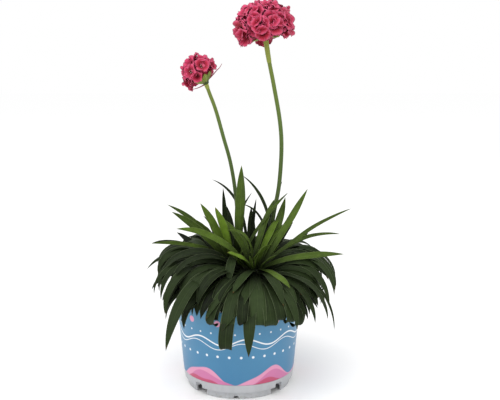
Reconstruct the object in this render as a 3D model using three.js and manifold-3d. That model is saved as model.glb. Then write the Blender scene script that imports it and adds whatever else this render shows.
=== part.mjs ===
// A broadleaf thrift with two flower heads, growing in its 13 cm plastic pot with a printed sleeve.
// Millimetres, +Z up. The origin is on the pot's axis, at the surface that the pot stands on,
// and -Y is the side that the photograph shows.
import * as THREE from 'three';
import { mergeVertices } from 'three/addons/utils/BufferGeometryUtils.js';
import Module from 'manifold-3d';

const wasm = await Module();
wasm.setup();

// Pot
const POT_HEIGHT = 102;
const POT_SIDES = 32;
const LIP_RADIUS = 65.5;
const LIP_THICKNESS = 2.4;
const LIP_BOTTOM = 92.5;
const BAND_BOTTOM = 7;
const BAND_TOP = 15.7;
const BAND_RADIUS = 57.4;
const WALL_SPREAD = 0.0864;
const WALL_THICKNESS = 1.2;
const FLOOR_THICKNESS = 2;
const CORNER_FILLET = 3;
const EDGE = 1;
const FOOT_RADIUS = 53;
const FOOT_THICKNESS = 2.5;
const PAD_RADIUS = 12;
const FOOT_GAP_WIDTH = 15;
const FOOT_NOTCH_WIDTH = 5;
const FOOT_NOTCH_HEIGHT = 3;
const DRAIN_WIDTH = 9;

// Sleeve and soil
const SLEEVE_THICKNESS = 0.5;
const GAP = 0.3;
const SOIL_TOP = 93;
const SOIL_SIDES = 24;
const COARSE_CRUMB = 0.9;
const FINE_CRUMB = 0.6;

// Plant: the shoots of the crown, each with the fan of leaves between two headings, and the young leaves'
// growing points. Headings are in degrees, from +X towards +Y.
const SHOOTS = {
  front: { x: 16, y: -14, radius: 30, first: -164, last: 28, width: 12, size: 1, lift: 0 },
  left: { x: -16, y: 6, radius: 28, first: 112, last: 228, width: 10.5, size: 0.88, lift: 4 },
  right: { x: 22, y: 22, radius: 26, first: -24, last: 78, width: 10, size: 0.95, lift: 3 },
  back: { x: 0, y: 22, radius: 26, first: 60, last: 146, width: 10, size: 0.95, lift: 3 },
};
const CROWN_RISE = 23;
const CROWN_HEIGHT = 98;
const CROWN_CLEARANCE = 0.4;
const STOCK = { x: 6, z: 78, top: 15, bottom: 7, height: 36 };
const HEARTS = { front: { x: 16, y: -14 }, middle: { x: 6, y: -5 }, left: { x: -4, y: 4 } };
const HEART_HEIGHT = 116;
const HEART_RADIUS = 8.5;
const HEART_RISE = 11;

// Leaves
const LEAF_STEPS = 6;
const RIB_STEPS = 30;
const LEAF_CURL = 1.3;
const STEEPEST = 80;
const TOWARDS_TIP = 0.85;
const KEEL_DEPTH = 1.1;
const ROOT_SHARE = 0.45;
const TIP_POWER = 1.8;
const WIDEST_AT = 0.6;
const TUCK_AT = 0.84;
const TUCK_SPAN = 0.04;
const TUCKED_PLACES = [0, 0.27, 0.5, 0.7, 0.8, 0.87, 1];
const TUCKED_WIDEST_AT = 0.72;

// Flower stems and heads
const STEM_SIDES = 6;
const TALL = {
  radius: 1.85,
  sheathRadius: 2.4,
  sheathFrom: 0.88,
  path: [[30, 20, 100], [33, 20, 140], [36.5, 20, 171], [42, 20, 202], [44.3, 20, 240], [42.4, 20, 269],
    [36.3, 20, 305], [31.6, 20, 330], [29, 20, 350]],
  bracts: { count: 6, rise: 0, bend: 10, length: 7.5, width: 4.5, steps: 3 },
  head: { x: 26.3, y: 20, z: 362, lean: -10, wide: 29, tall: 25.5 },
  florets: { count: 38, lowest: 122, size: 7.2, seed: 41 },
};
const SHORT = {
  radius: 1.5,
  sheathRadius: 2.1,
  sheathFrom: 0.9,
  path: [[4, 14, 100], [2, 14, 130], [-2.5, 14, 190], [-7.6, 13, 225], [-15, 12, 253], [-22.4, 11, 280],
    [-28.9, 10, 298], [-32.4, 9, 308]],
  bracts: { count: 7, rise: 5, bend: -35, length: 14, width: 5, steps: 4 },
  head: { x: -38, y: 9, z: 317.5, lean: -32, wide: 18, tall: 17.5 },
  florets: { count: 15, lowest: 84, size: 6.8, seed: 67 },
};
const PETALS = 5;
const NOTCH_SPREAD = 0.78;
const NOTCH_DEPTH = 0.12;
const CUP_DEPTH = 0.4;
const CORE_SHARE = 0.6;
const ROOT_DEPTH = 0.36;
const GOLDEN_ANGLE = 137.508;
const HEAD_FLAT = 9;
const SOCKET = { narrow: 10.5, wide: 12.5, depth: 40 };
const RECEPTACLE_RADIUS = 4.5;
const RECEPTACLE_HEIGHT = 4;
const BRACT_KEEL = 0.8;
const STEM_HOLE = 0.15;

const radians = THREE.MathUtils.degToRad;

// The same even draws each time, after Park and Miller
function draws(seed) {
  let state = seed;
  return (low, high) => {
    state = (state * 16807) % 2147483647;
    return low + (high - low) * (state / 2147483647);
  };
}

// A closed geometry as a solid, with its shared corners merged
function solid(geometry) {
  geometry.deleteAttribute('normal');
  geometry.deleteAttribute('uv');
  const merged = mergeVertices(geometry, 1e-4);
  const corners = merged.index.array;
  const faces = [];
  for (let i = 0; i < corners.length; i += 3) {
    const [a, b, c] = corners.slice(i, i + 3);
    if (a !== b && b !== c && c !== a) faces.push(a, b, c);
  }
  return new wasm.Manifold(new wasm.Mesh({
    numProp: 3,
    vertProperties: new Float32Array(merged.attributes.position.array),
    triVerts: Uint32Array.from(faces),
  }));
}

// All the solids fused, two by two
function fused(solids) {
  let row = solids;
  while (row.length > 1) {
    row = row.flatMap((body, i) => (i % 2 ? [] : [row[i + 1] ? body.add(row[i + 1]) : body]));
  }
  return row[0];
}

// The largest body of a solid, without loose scraps or sealed hollows
function largest(body) {
  return body.decompose().reduce((kept, next) => (next.volume() > kept.volume() ? next : kept));
}

function piece(name, body, colour, roughness) {
  const { vertProperties, triVerts } = body.getMesh();
  const geometry = new THREE.BufferGeometry();
  geometry.setAttribute('position', new THREE.BufferAttribute(vertProperties, 3));
  geometry.setIndex(new THREE.BufferAttribute(triVerts, 1));
  geometry.computeVertexNormals();
  const material = new THREE.MeshStandardMaterial({ color: colour, roughness, metalness: 0 });
  const mesh = new THREE.Mesh(geometry, material);
  mesh.name = name;
  return mesh;
}

// A closed profile of [radius, height] corners, turned about the pot's axis
function turned(profile, sides = POT_SIDES) {
  const points = profile.map(([radius, height]) => new THREE.Vector2(radius, height));
  const geometry = new THREE.LatheGeometry(points, sides);
  geometry.rotateX(Math.PI / 2);
  return geometry;
}

// Outer radius of the printed wall at a height
function wallRadius(height) {
  return BAND_RADIUS + WALL_SPREAD * (height - BAND_TOP);
}

const recess = SLEEVE_THICKNESS + GAP;
const insideRadius = (height) => wallRadius(height) - recess - WALL_THICKNESS;
const floorTop = BAND_BOTTOM + FLOOR_THICKNESS;
const cornerTop = floorTop + CORNER_FILLET;
const cornerRadius = insideRadius(floorTop) - CORNER_FILLET;

// Radial cutters through the foot ring, a quarter turn apart
function footCutters(width, bottom, top, firstTurn) {
  return [0, 90, 180, 270].map((turn) => {
    const box = new THREE.BoxGeometry(width, FOOT_RADIUS / 2, top - bottom);
    box.translate(0, -FOOT_RADIUS, (top + bottom) / 2);
    box.rotateZ(radians(firstTurn + turn));
    return solid(box);
  });
}

// The moulded pot: centre pad, raised floor, foot ring, band, sleeve recess, lip
function pot() {
  const footInside = FOOT_RADIUS - FOOT_THICKNESS;
  const shell = solid(turned([
    [0, 0], [PAD_RADIUS, 0], [PAD_RADIUS + EDGE, BAND_BOTTOM],
    [footInside, BAND_BOTTOM], [footInside, 0], [FOOT_RADIUS, 0], [FOOT_RADIUS + EDGE / 2, BAND_BOTTOM],
    [BAND_RADIUS - EDGE, BAND_BOTTOM + EDGE / 2], [BAND_RADIUS, BAND_TOP],
    [BAND_RADIUS - recess, BAND_TOP], [wallRadius(LIP_BOTTOM) - recess, LIP_BOTTOM],
    [LIP_RADIUS, LIP_BOTTOM + EDGE / 2], [LIP_RADIUS, POT_HEIGHT - EDGE], [LIP_RADIUS - EDGE, POT_HEIGHT],
    [LIP_RADIUS - LIP_THICKNESS, POT_HEIGHT], [insideRadius(LIP_BOTTOM), LIP_BOTTOM],
    [insideRadius(cornerTop), cornerTop], [cornerRadius, floorTop], [0, floorTop],
  ]));
  const gaps = footCutters(FOOT_GAP_WIDTH, -EDGE, BAND_BOTTOM, 45);
  const notches = footCutters(FOOT_NOTCH_WIDTH, -EDGE, FOOT_NOTCH_HEIGHT, -3);
  const drains = footCutters(DRAIN_WIDTH, BAND_BOTTOM - EDGE, cornerTop - EDGE / 2, 45);
  return [...gaps, ...notches, ...drains].reduce((body, cutter) => body.subtract(cutter), shell);
}

// The printed film, wrapped round the wall in its shallow recess
function sleeve() {
  const low = BAND_TOP + GAP;
  const high = LIP_BOTTOM - GAP;
  return solid(turned([
    [wallRadius(low) - SLEEVE_THICKNESS, low], [wallRadius(low), low],
    [wallRadius(high), high], [wallRadius(high) - SLEEVE_THICKNESS, high],
    [wallRadius(low) - SLEEVE_THICKNESS, low],
  ]));
}

// Height of the soil's crumbly top above its mean level
function crumbs(x, y) {
  return COARSE_CRUMB * Math.sin(x / 4.3 + 1) * Math.cos(y / 5.1) + FINE_CRUMB * Math.sin((x + y) / 2.9);
}

function soil() {
  const low = floorTop + GAP;
  const rim = SOIL_TOP - 2;
  const edge = insideRadius(rim) - GAP;
  const geometry = turned([
    [0, low], [cornerRadius - GAP, low], [insideRadius(cornerTop) - GAP, cornerTop + GAP],
    [edge, rim], [edge - 8, rim + 1], [edge - 16, rim + 2], [edge - 24, rim + 3], [0, rim + 3],
  ], SOIL_SIDES);
  const points = geometry.attributes.position;
  for (let i = 0; i < points.count; i += 1) {
    const height = points.getZ(i);
    if (height > rim + EDGE / 2) points.setZ(i, height + crumbs(points.getX(i), points.getY(i)));
  }
  return solid(geometry).subtract(crown(CROWN_CLEARANCE));
}

// An upright ball, stretched to its three half sizes
function ball(x, y, z, radius, halfHeight, sides = 12) {
  const geometry = new THREE.SphereGeometry(1, sides, Math.ceil(sides * 0.6));
  geometry.rotateX(Math.PI / 2);
  geometry.scale(radius, radius, halfHeight);
  geometry.translate(x, y, z);
  return solid(geometry);
}

// The woody crown: a stock in the soil with the shoots on it, all grown outwards by a margin
function crown(margin) {
  const { x, z, top, bottom, height } = STOCK;
  const stock = new THREE.CylinderGeometry(top + margin, bottom + margin, height + 2 * margin, 10);
  stock.rotateX(Math.PI / 2);
  stock.translate(x, 0, z);
  const shoots = Object.values(SHOOTS).map((shoot) => (
    ball(shoot.x, shoot.y, CROWN_HEIGHT, shoot.radius + margin, CROWN_RISE + margin)));
  return fused([solid(stock), ...shoots]);
}

// The growing points of the young leaves, grown outwards by a margin
function hearts(margin) {
  return fused(Object.values(HEARTS).map(({ x, y }) => (
    ball(x, y, HEART_HEIGHT, HEART_RADIUS + margin, HEART_RISE + margin, 10))));
}

// Midrib of a leaf: points and directions from its root to its tip, as it rises, turns over and sweeps,
// and tucks its tip under
function midrib({ from, heading, rise, bend, length, sweep = 0, curl = LEAF_CURL, tuck = 0 }) {
  const direction = (along) => {
    const folded = tuck / (1 + Math.exp((TUCK_AT - along) / TUCK_SPAN));
    const up = radians(rise - bend * along ** curl - folded);
    const turn = radians(heading + sweep * along);
    return new THREE.Vector3(Math.cos(up) * Math.cos(turn), Math.cos(up) * Math.sin(turn), Math.sin(up));
  };
  const ribs = [{ point: new THREE.Vector3(...from), forward: direction(0), heading }];
  for (let i = 0; i < RIB_STEPS; i += 1) {
    const stride = direction((i + 0.5) / RIB_STEPS).multiplyScalar(length / RIB_STEPS);
    const along = (i + 1) / RIB_STEPS;
    const point = ribs[i].point.clone().add(stride);
    ribs.push({ point, forward: direction(along), heading: heading + sweep * along });
  }
  return ribs;
}

// Share of its full width that a leaf has at a place along it
function breadth(along, widest) {
  if (along < widest) return ROOT_SHARE + (1 - ROOT_SHARE) * Math.sin((Math.PI / 2) * (along / widest));
  return 1 - ((along - widest) / (1 - widest)) ** TIP_POWER;
}

// A strap leaf: a slim cone of three sides laid along the midrib, flat above and keeled below
function leaf(shape) {
  const ribs = midrib(shape);
  const steps = shape.tuck ? TUCKED_PLACES.length - 1 : shape.steps ?? LEAF_STEPS;
  const geometry = new THREE.ConeGeometry(1, 1, 3, steps);
  const points = geometry.attributes.position;
  for (let i = 0; i < points.count; i += 1) {
    const share = points.getY(i) + 0.5;
    const place = shape.tuck ? TUCKED_PLACES[Math.round(share * steps)] : share ** TOWARDS_TIP;
    const rib = Math.round(place * RIB_STEPS);
    const along = rib / RIB_STEPS;
    const wide = breadth(along, shape.tuck ? TUCKED_WIDEST_AT : WIDEST_AT);
    const { point, forward, heading } = ribs[rib];
    const right = new THREE.Vector3(Math.sin(radians(heading)), -Math.cos(radians(heading)), 0);
    right.applyAxisAngle(forward, radians((shape.roll ?? 0) * along));
    const up = right.clone().cross(forward);
    const shrink = Math.max(1 - share, 1e-6);
    const sideways = (-points.getX(i) / shrink) * (shape.width / Math.sqrt(3)) * wide;
    const lower = Math.max(points.getZ(i) / shrink, -0.5) + 0.5;
    const corner = point.clone().addScaledVector(right, sideways);
    corner.addScaledVector(up, (-lower / 1.5) * (shape.keel ?? KEEL_DEPTH) * Math.sqrt(wide));
    points.setXYZ(i, corner.x, corner.y, corner.z);
  }
  return solid(geometry);
}

// A leaf's root, a little way out from its growing point on the side that it heads for
function rooted(centre, out, height, shape) {
  const turn = radians(shape.heading);
  const [x, y] = shape.at ?? [out * Math.cos(turn), out * Math.sin(turn)];
  return { ...shape, from: [centre.x + x, centre.y + y, height] };
}

// The young leaves, as the photograph shows them, from the left round to the right
const YOUNG = {
  front: [
    { heading: 206, rise: 54, bend: 50, length: 97, width: 8.5, roll: -15 },
    { heading: 203, rise: 43, bend: 0, length: 33, width: 7.5 },
    { heading: 50, rise: 66, bend: 36, length: 61, width: 8.5, roll: 10 },
    { heading: 40, rise: 62, bend: 30, length: 54, width: 7.5 },
    { heading: 41, rise: 50, bend: -13, length: 83, width: 8, sweep: 19, roll: -20 },
    { heading: 27, rise: 51, bend: -6, length: 98, width: 7.5, roll: 25 },
    { heading: 3, rise: 45, bend: 25, length: 114, width: 4.5, roll: 30 },
    { heading: 13, rise: 46, bend: 58, length: 98, width: 5.5 },
    { heading: -26, rise: 42, bend: 54, length: 98, width: 7, roll: 20 },
    { heading: 135, rise: 74, bend: 30, length: 50, width: 6 },
    { heading: -60, rise: 72, bend: 60, length: 44, width: 6 },
  ],
  left: [
    { heading: 237, rise: 74, bend: 23, length: 71, width: 8.5, roll: 10 },
    { heading: 191, rise: 70, bend: 14, length: 71, width: 8 },
    { heading: 170, rise: 58, bend: 36, length: 92, width: 5, roll: -15 },
    { heading: 203, rise: 55, bend: 25, length: 89, width: 8, roll: 10 },
    { heading: 200, rise: 46, bend: 54, length: 92, width: 6 },
    { heading: -65, rise: 82, bend: -4, length: 102, width: 10.5 },
    { heading: 12, rise: 64, bend: 23, length: 90, width: 7.5, roll: -30 },
    { heading: 150, rise: 70, bend: 30, length: 66, width: 6 },
  ],
};

// Height of a single leaf's root: the steeper it rises, the higher it starts
function rootHeight({ rise }, lowest, climb) {
  return lowest + climb * Math.min(rise / STEEPEST, 1);
}

function youngLeaves() {
  const leaves = Object.entries(YOUNG).flatMap(([name, shapes]) => (
    shapes.map((shape) => leaf(rooted(HEARTS[name], 4, rootHeight(shape, 112, 14), shape)))));
  return largest(fused([hearts(0), ...leaves]));
}

// Layers of each rosette, from the top one down
const LAYERS = [
  { out: 9, height: 113, rise: 46, bend: 190, length: 102, step: 14.5, inset: 0, tucked: 0.5, steps: 6 },
  { out: 13, height: 109, rise: 35, bend: 168, length: 95, step: 18, inset: 3, tucked: 0.6, steps: 4 },
  { out: 17, height: 103, rise: 22, bend: 110, length: 78, step: 26, inset: 8, tucked: 0, steps: 4 },
];
const HANGING = { turn: 0, lessBend: 0, length: 1, curl: 1.5 };
const TUCKED = { turn: 115, lessBend: 15, length: 1.2, curl: LEAF_CURL };
const MEAN_TO_RIM = 50;
const FRONT_HEADING = -80;
const FRONT_GAIN = 0.25;
const CUSHION_SEED = 20261;

// Single leaves that stand out from the cushion in the photograph, on the named shoot
const FALLEN = {
  front: [
    { heading: -71, rise: 52, bend: 102, length: 84, width: 8, sweep: 6 },
    { heading: -104, rise: 51, bend: 106, length: 88, width: 8.5, roll: 15 },
    { heading: -115, rise: 50, bend: 109, length: 89, width: 8.5, roll: 15 },
    { heading: -117, rise: 48, bend: 137, length: 107, width: 8.5, sweep: -10, roll: 10 },
    { heading: -114, rise: 59, bend: 107, length: 90, width: 8.5, sweep: 10 },
    { heading: -107, rise: 47, bend: 150, length: 115, width: 9, sweep: -8, roll: 10 },
    { heading: -95, rise: 40, bend: 186, length: 146, width: 11.5 },
    { heading: -110, rise: 43, bend: 170, length: 132, width: 14 },
    { heading: -63, rise: 45, bend: 142, length: 112, width: 8.5 },
  ],
  left: [
    { heading: -112, rise: 28, bend: 118, length: 122, width: 8.8, sweep: -26, roll: -10 },
    { heading: -131, rise: 42, bend: 138, length: 103, width: 8.8 },
    { heading: 172, rise: 56, bend: 75, length: 88, width: 5, sweep: 8 },
  ],
  right: [
    { heading: -28, rise: 34, bend: 142, length: 122, width: 4, sweep: -10 },
    { heading: 2, rise: 50, bend: 140, length: 98, width: 5.5 },
    { heading: 182, rise: 88, bend: 42, length: 96, width: 4.5, at: [14, 9] },
    { heading: 88, rise: 66, bend: 50, length: 84, width: 5 },
  ],
  back: [
    { heading: 125, rise: 88, bend: 75, length: 100, width: 4.5, sweep: -12, at: [-4, 0] },
    { heading: 145, rise: 88, bend: 12, length: 80, width: 6, at: [-12, -6] },
    { heading: 39, rise: 71, bend: 20, length: 90, width: 4, at: [14, 2] },
    { heading: 92, rise: 72, bend: 60, length: 80, width: 5 },
  ],
};

// Distance from a point to the pot's rim, seen from above along a heading
function toRim({ x, y }, heading) {
  const along = x * Math.cos(radians(heading)) + y * Math.sin(radians(heading));
  return Math.sqrt(along ** 2 + LIP_RADIUS ** 2 - x ** 2 - y ** 2) - along;
}

function cushionShapes() {
  const draw = draws(CUSHION_SEED);
  const vary = (most) => draw(-most, most);
  const shapes = [];
  Object.values(SHOOTS).forEach((shoot) => {
    LAYERS.forEach((layer) => {
      const last = shoot.last - layer.inset;
      for (let heading = shoot.first + layer.inset; heading <= last; heading += layer.step) {
        const facing = Math.max(0, Math.cos(radians(heading - FRONT_HEADING)));
        const tucked = draw(0, 1) < layer.tucked;
        const fold = tucked ? TUCKED : HANGING;
        const reach = 0.4 + 0.6 * toRim(shoot, heading) / MEAN_TO_RIM;
        shapes.push(rooted(shoot, layer.out, layer.height, {
          heading: heading + vary(3),
          rise: layer.rise + shoot.lift + vary(4),
          bend: layer.bend + vary(12) - fold.lessBend,
          length: (layer.length + vary(7)) * shoot.size * reach * fold.length,
          width: shoot.width * (1 + FRONT_GAIN * facing + vary(0.1)),
          sweep: vary(10),
          roll: vary(12),
          steps: layer.steps,
          curl: fold.curl,
          tuck: fold.turn,
        }));
      }
    });
  });
  Object.entries(FALLEN).forEach(([name, row]) => row.forEach((shape) => {
    const height = shape.at ? CROWN_HEIGHT + 4 : rootHeight(shape, 106, 12);
    shapes.push(rooted(SHOOTS[name], 8, height, shape));
  }));
  return shapes;
}

function cushion() {
  const stemHoles = [TALL, SHORT].map(({ path, radius }) => (
    rod(curveThrough(path), radius + CROWN_CLEARANCE + 0.1, 0, STEM_HOLE, 4)));
  const hollows = fused([hearts(CROWN_CLEARANCE), ...stemHoles]);
  return largest(fused([crown(0), ...cushionShapes().map(leaf)]).subtract(hollows));
}

// Place and lean of a flower head, with +Z out of its top
function headPose({ x, y, z, lean }) {
  return new THREE.Matrix4().makeRotationY(radians(lean)).setPosition(x, y, z);
}

// A round rod along a curve, from one share of the curve's length to another
function rod(curve, radius, first, last, steps) {
  const stride = (last - first) / steps;
  const points = Array.from({ length: steps + 1 }, (_, i) => curve.getPointAt(first + stride * i));
  const section = new THREE.Shape().absarc(0, 0, radius, 0, 2 * Math.PI);
  return solid(new THREE.ExtrudeGeometry(section, {
    curveSegments: STEM_SIDES / 2,
    steps,
    extrudePath: new THREE.CatmullRomCurve3(points),
    bevelEnabled: false,
  }));
}

function curveThrough(path) {
  return new THREE.CatmullRomCurve3(path.map((point) => new THREE.Vector3(...point)));
}

// A flower stem with the sheath below its head, and the receptacle and bracts that hold the head
function stem({ path, radius, sheathRadius, sheathFrom, head, bracts }) {
  const curve = curveThrough(path);
  const pose = headPose(head);
  const top = -HEAD_FLAT - GAP;
  const plate = new THREE.CylinderGeometry(RECEPTACLE_RADIUS, sheathRadius, RECEPTACLE_HEIGHT, 10);
  plate.rotateX(Math.PI / 2);
  plate.translate(0, 0, top - RECEPTACLE_HEIGHT / 2);
  const ring = Array.from({ length: bracts.count }, (_, i) => {
    const heading = (360 / bracts.count) * i + 10;
    return rooted({ x: 0, y: 0 }, 2, top - 2 * BRACT_KEEL, { ...bracts, heading, keel: BRACT_KEEL });
  });
  const green = [solid(plate), ...ring.map(leaf)].map((body) => body.transform(pose.elements));
  const rods = [rod(curve, radius, 0, 0.97, 15), rod(curve, sheathRadius, sheathFrom, 1, 4)];
  return largest(fused([...rods, ...green]));
}

// A floret: a slim cone with its point in the head's core and five notched petals round its cupped mouth
function floret({ outward, spin, reach, size, deep }) {
  const geometry = new THREE.ConeGeometry(1, 1, 2 * PETALS, 1);
  const points = geometry.attributes.position;
  for (let i = 0; i < points.count; i += 1) {
    const [x, y, z] = [points.getX(i), points.getY(i), points.getZ(i)];
    const rim = Math.hypot(x, z) > 0.5;
    const notch = rim && Math.round((Math.atan2(x, z) / Math.PI) * PETALS + PETALS) % 2;
    const spread = notch ? NOTCH_SPREAD : 1;
    const outwardBy = y > 0 ? deep : reach - (rim ? NOTCH_DEPTH * notch : CUP_DEPTH) * size;
    points.setXYZ(i, x * spread * size, -outwardBy, z * spread * size);
  }
  const aim = new THREE.Quaternion().setFromUnitVectors(new THREE.Vector3(0, -1, 0), outward);
  geometry.rotateY(spin);
  geometry.applyQuaternion(aim);
  return solid(geometry);
}

// A flower head in its own frame: florets spread evenly over a flattened ball, on a small core
function flowerHead({ wide, tall }, { count, lowest, size, seed }) {
  const draw = draws(seed);
  const core = ball(0, 0, 0, CORE_SHARE * wide, CORE_SHARE * tall, 14);
  const blooms = Array.from({ length: count }, (_, i) => {
    const height = 1 - ((i + 0.5) / count) * (1 - Math.cos(radians(lowest)));
    const around = i * radians(GOLDEN_ANGLE) + draw(-0.12, 0.12);
    const across = Math.sqrt(1 - height * height);
    const outward = new THREE.Vector3(across * Math.cos(around), across * Math.sin(around), height);
    const reach = 1 / Math.hypot(across / wide, height / tall) + draw(-1.2, 1.2);
    const deep = ROOT_DEPTH * reach;
    return floret({ outward, spin: draw(0, 2), reach, size: size * draw(0.92, 1.08), deep });
  });
  const socket = new THREE.CylinderGeometry(SOCKET.narrow, SOCKET.wide, SOCKET.depth, 12);
  socket.rotateX(Math.PI / 2);
  socket.translate(0, 0, -HEAD_FLAT - SOCKET.depth / 2);
  return largest(fused([core, ...blooms]).subtract(solid(socket)));
}

function headPiece(name, flower) {
  const head = piece(name, flowerHead(flower.head, flower.florets), '#b82f50', 0.6);
  head.position.set(flower.head.x, flower.head.y, flower.head.z);
  head.rotation.y = radians(flower.head.lean);
  return head;
}

const group = new THREE.Group();
group.add(piece('pot', pot(), '#d9dcdf', 0.45));
group.add(piece('printed_label', sleeve(), '#4a8fc4', 0.35));
group.add(piece('soil', soil(), '#2e2620', 0.95));
group.add(piece('leaf_cushion', cushion(), '#2b3a20', 0.6));
group.add(piece('young_leaves', youngLeaves(), '#55802a', 0.5));
group.add(piece('flower_stem_tall', stem(TALL), '#7f9a45', 0.5));
group.add(piece('flower_stem_short', stem(SHORT), '#86a04a', 0.5));
group.add(headPiece('flower_head_tall', TALL));
group.add(headPiece('flower_head_short', SHORT));
export default group;
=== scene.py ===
import math

import bmesh
import bpy
from mathutils import Matrix, Quaternion, Vector


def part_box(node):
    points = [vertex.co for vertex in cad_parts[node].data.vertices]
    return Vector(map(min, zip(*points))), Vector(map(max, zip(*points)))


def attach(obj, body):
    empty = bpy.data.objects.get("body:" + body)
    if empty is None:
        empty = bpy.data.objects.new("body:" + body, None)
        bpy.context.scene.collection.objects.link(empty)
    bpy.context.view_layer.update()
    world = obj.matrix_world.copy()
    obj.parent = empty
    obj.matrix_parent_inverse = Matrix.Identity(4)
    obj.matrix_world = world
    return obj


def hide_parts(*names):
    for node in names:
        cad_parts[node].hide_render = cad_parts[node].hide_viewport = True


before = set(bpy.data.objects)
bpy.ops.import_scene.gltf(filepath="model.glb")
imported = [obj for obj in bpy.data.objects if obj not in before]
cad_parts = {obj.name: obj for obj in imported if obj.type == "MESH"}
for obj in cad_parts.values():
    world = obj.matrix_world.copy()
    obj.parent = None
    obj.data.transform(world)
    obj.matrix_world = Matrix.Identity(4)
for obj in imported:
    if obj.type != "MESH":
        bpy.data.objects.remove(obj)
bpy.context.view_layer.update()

# Pot
# A round sales pot, injection moulded in one piece from pale polypropylene. Its wall has a shallow recess
# for the printed film. The bare band below it stays in sight, and so does the foot ring, with its gaps,
# notches and drains.

MM = 0.001
POT_STEPS = 128
pot_low, pot_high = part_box("pot")
LIP_RADIUS = pot_high.x / MM
POT_HEIGHT = pot_high.z / MM
LIP_THICKNESS = 2.4
LIP_BOTTOM = 92.5
BAND_BOTTOM = 7
BAND_TOP = 15.7
BAND_RADIUS = 57.4
WALL_SPREAD = 0.0864
WALL_THICKNESS = 1.2
FLOOR_TOP = BAND_BOTTOM + 2
CORNER_TOP = FLOOR_TOP + 3
EDGE = 1
FOOT_RADIUS = 53
FOOT_THICKNESS = 2.5
PAD_RADIUS = 12
RECESS = 0.8
CORNER_ROUNDING = 0.35
FOOT_CUTS = [
    {"width": 15, "bottom": -1, "top": BAND_BOTTOM, "turn": 45},
    {"width": 5, "bottom": -1, "top": 3, "turn": -3},
    {"width": 9, "bottom": BAND_BOTTOM - 1, "top": 11.5, "turn": 45},
]


def linear(colour):
    """An sRGB hex value as linear red, green, blue and alpha."""
    shares = [int(colour[place:place + 2], 16) / 255 for place in (1, 3, 5)]
    return (*[share / 12.92 if share <= 0.04045 else ((share + 0.055) / 1.055) ** 2.4 for share in shares], 1)


def add(tree, kind, settings={}, inputs={}):
    """Adds a node with its settings and gives each input its value or its link. Returns its outputs."""
    made = tree.nodes.new(kind)
    for name, value in settings.items():
        setattr(made, name, value)
    for name, value in inputs.items():
        if isinstance(value, bpy.types.NodeSocket):
            tree.links.new(value, made.inputs[name])
        else:
            made.inputs[name].default_value = value
    return made.outputs


def finish_of(name, **constants):
    """A material named for the real one, with the values that are the same all over its surface."""
    material = bpy.data.materials.new(name)
    material.use_nodes = True
    shader = material.node_tree.nodes["Principled BSDF"]
    for socket, value in constants.items():
        shader.inputs[socket.replace("_", " ")].default_value = value
    return material, material.node_tree, shader


def wall_radius(height):
    """Outer radius of the printed wall at a height."""
    return BAND_RADIUS + WALL_SPREAD * (height - BAND_TOP)


def inside_radius(height):
    """Inner radius of the pot's wall at a height."""
    return wall_radius(height) - RECESS - WALL_THICKNESS


def blank():
    """An empty bmesh in millimetres, with room for texture coordinates and a tone for each part of it."""
    bm = bmesh.new()
    bm.loops.layers.uv.new("UVMap")
    bm.verts.layers.float.new("tone")
    return bm


def spun(profile, rounding=0.0, steps=POT_STEPS, closed=False):
    """A profile of radius and height, with its corners rounded, turned about the pot's axis."""
    bm = blank()
    corners = [bm.verts.new((radius, 0, height)) for radius, height in profile]
    for pair in zip(corners, corners[1:] + corners[:1] if closed else corners[1:]):
        bm.edges.new(pair)
    if rounding:
        rounded = corners if closed else corners[1:-1]
        bmesh.ops.bevel(bm, geom=rounded, offset=rounding, offset_type="OFFSET", segments=3, profile=0.5,
                        affect="VERTICES", clamp_overlap=True, material=-1)
    bmesh.ops.spin(bm, geom=bm.verts[:] + bm.edges[:], cent=(0, 0, 0), axis=(0, 0, 1), angle=2 * math.pi,
                   steps=steps, use_merge=True)
    bmesh.ops.remove_doubles(bm, verts=bm.verts, dist=0.01)
    return bm


def shown(name, bm, material, sharp=35, merge=0.0):
    """The bmesh as an object of the scene: closed, facing out, in metres, smooth but for its sharp edges."""
    if merge:
        bmesh.ops.remove_doubles(bm, verts=bm.verts, dist=merge)
    bmesh.ops.recalc_face_normals(bm, faces=bm.faces)
    bmesh.ops.scale(bm, vec=(MM, MM, MM), verts=bm.verts)
    mesh = bpy.data.meshes.new(name)
    bm.to_mesh(mesh)
    bm.free()
    mesh.materials.append(material)
    mesh.shade_smooth()
    if sharp:
        mesh.set_sharp_from_angle(angle=math.radians(sharp))
    made = bpy.data.objects.new(name, mesh)
    bpy.context.scene.collection.objects.link(made)
    return made


def cut_away(made, cutters):
    """Cuts a bmesh of boxes out of an object, for good."""
    tool = shown("cutters", cutters, made.data.materials[0])
    knife = made.modifiers.new("cut", "BOOLEAN")
    knife.operation = "DIFFERENCE"
    knife.solver = "EXACT"
    knife.object = tool
    graph = bpy.context.evaluated_depsgraph_get()
    cut = bpy.data.meshes.new_from_object(made.evaluated_get(graph))
    made.modifiers.clear()
    made.data = cut
    bpy.data.objects.remove(tool)


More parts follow.
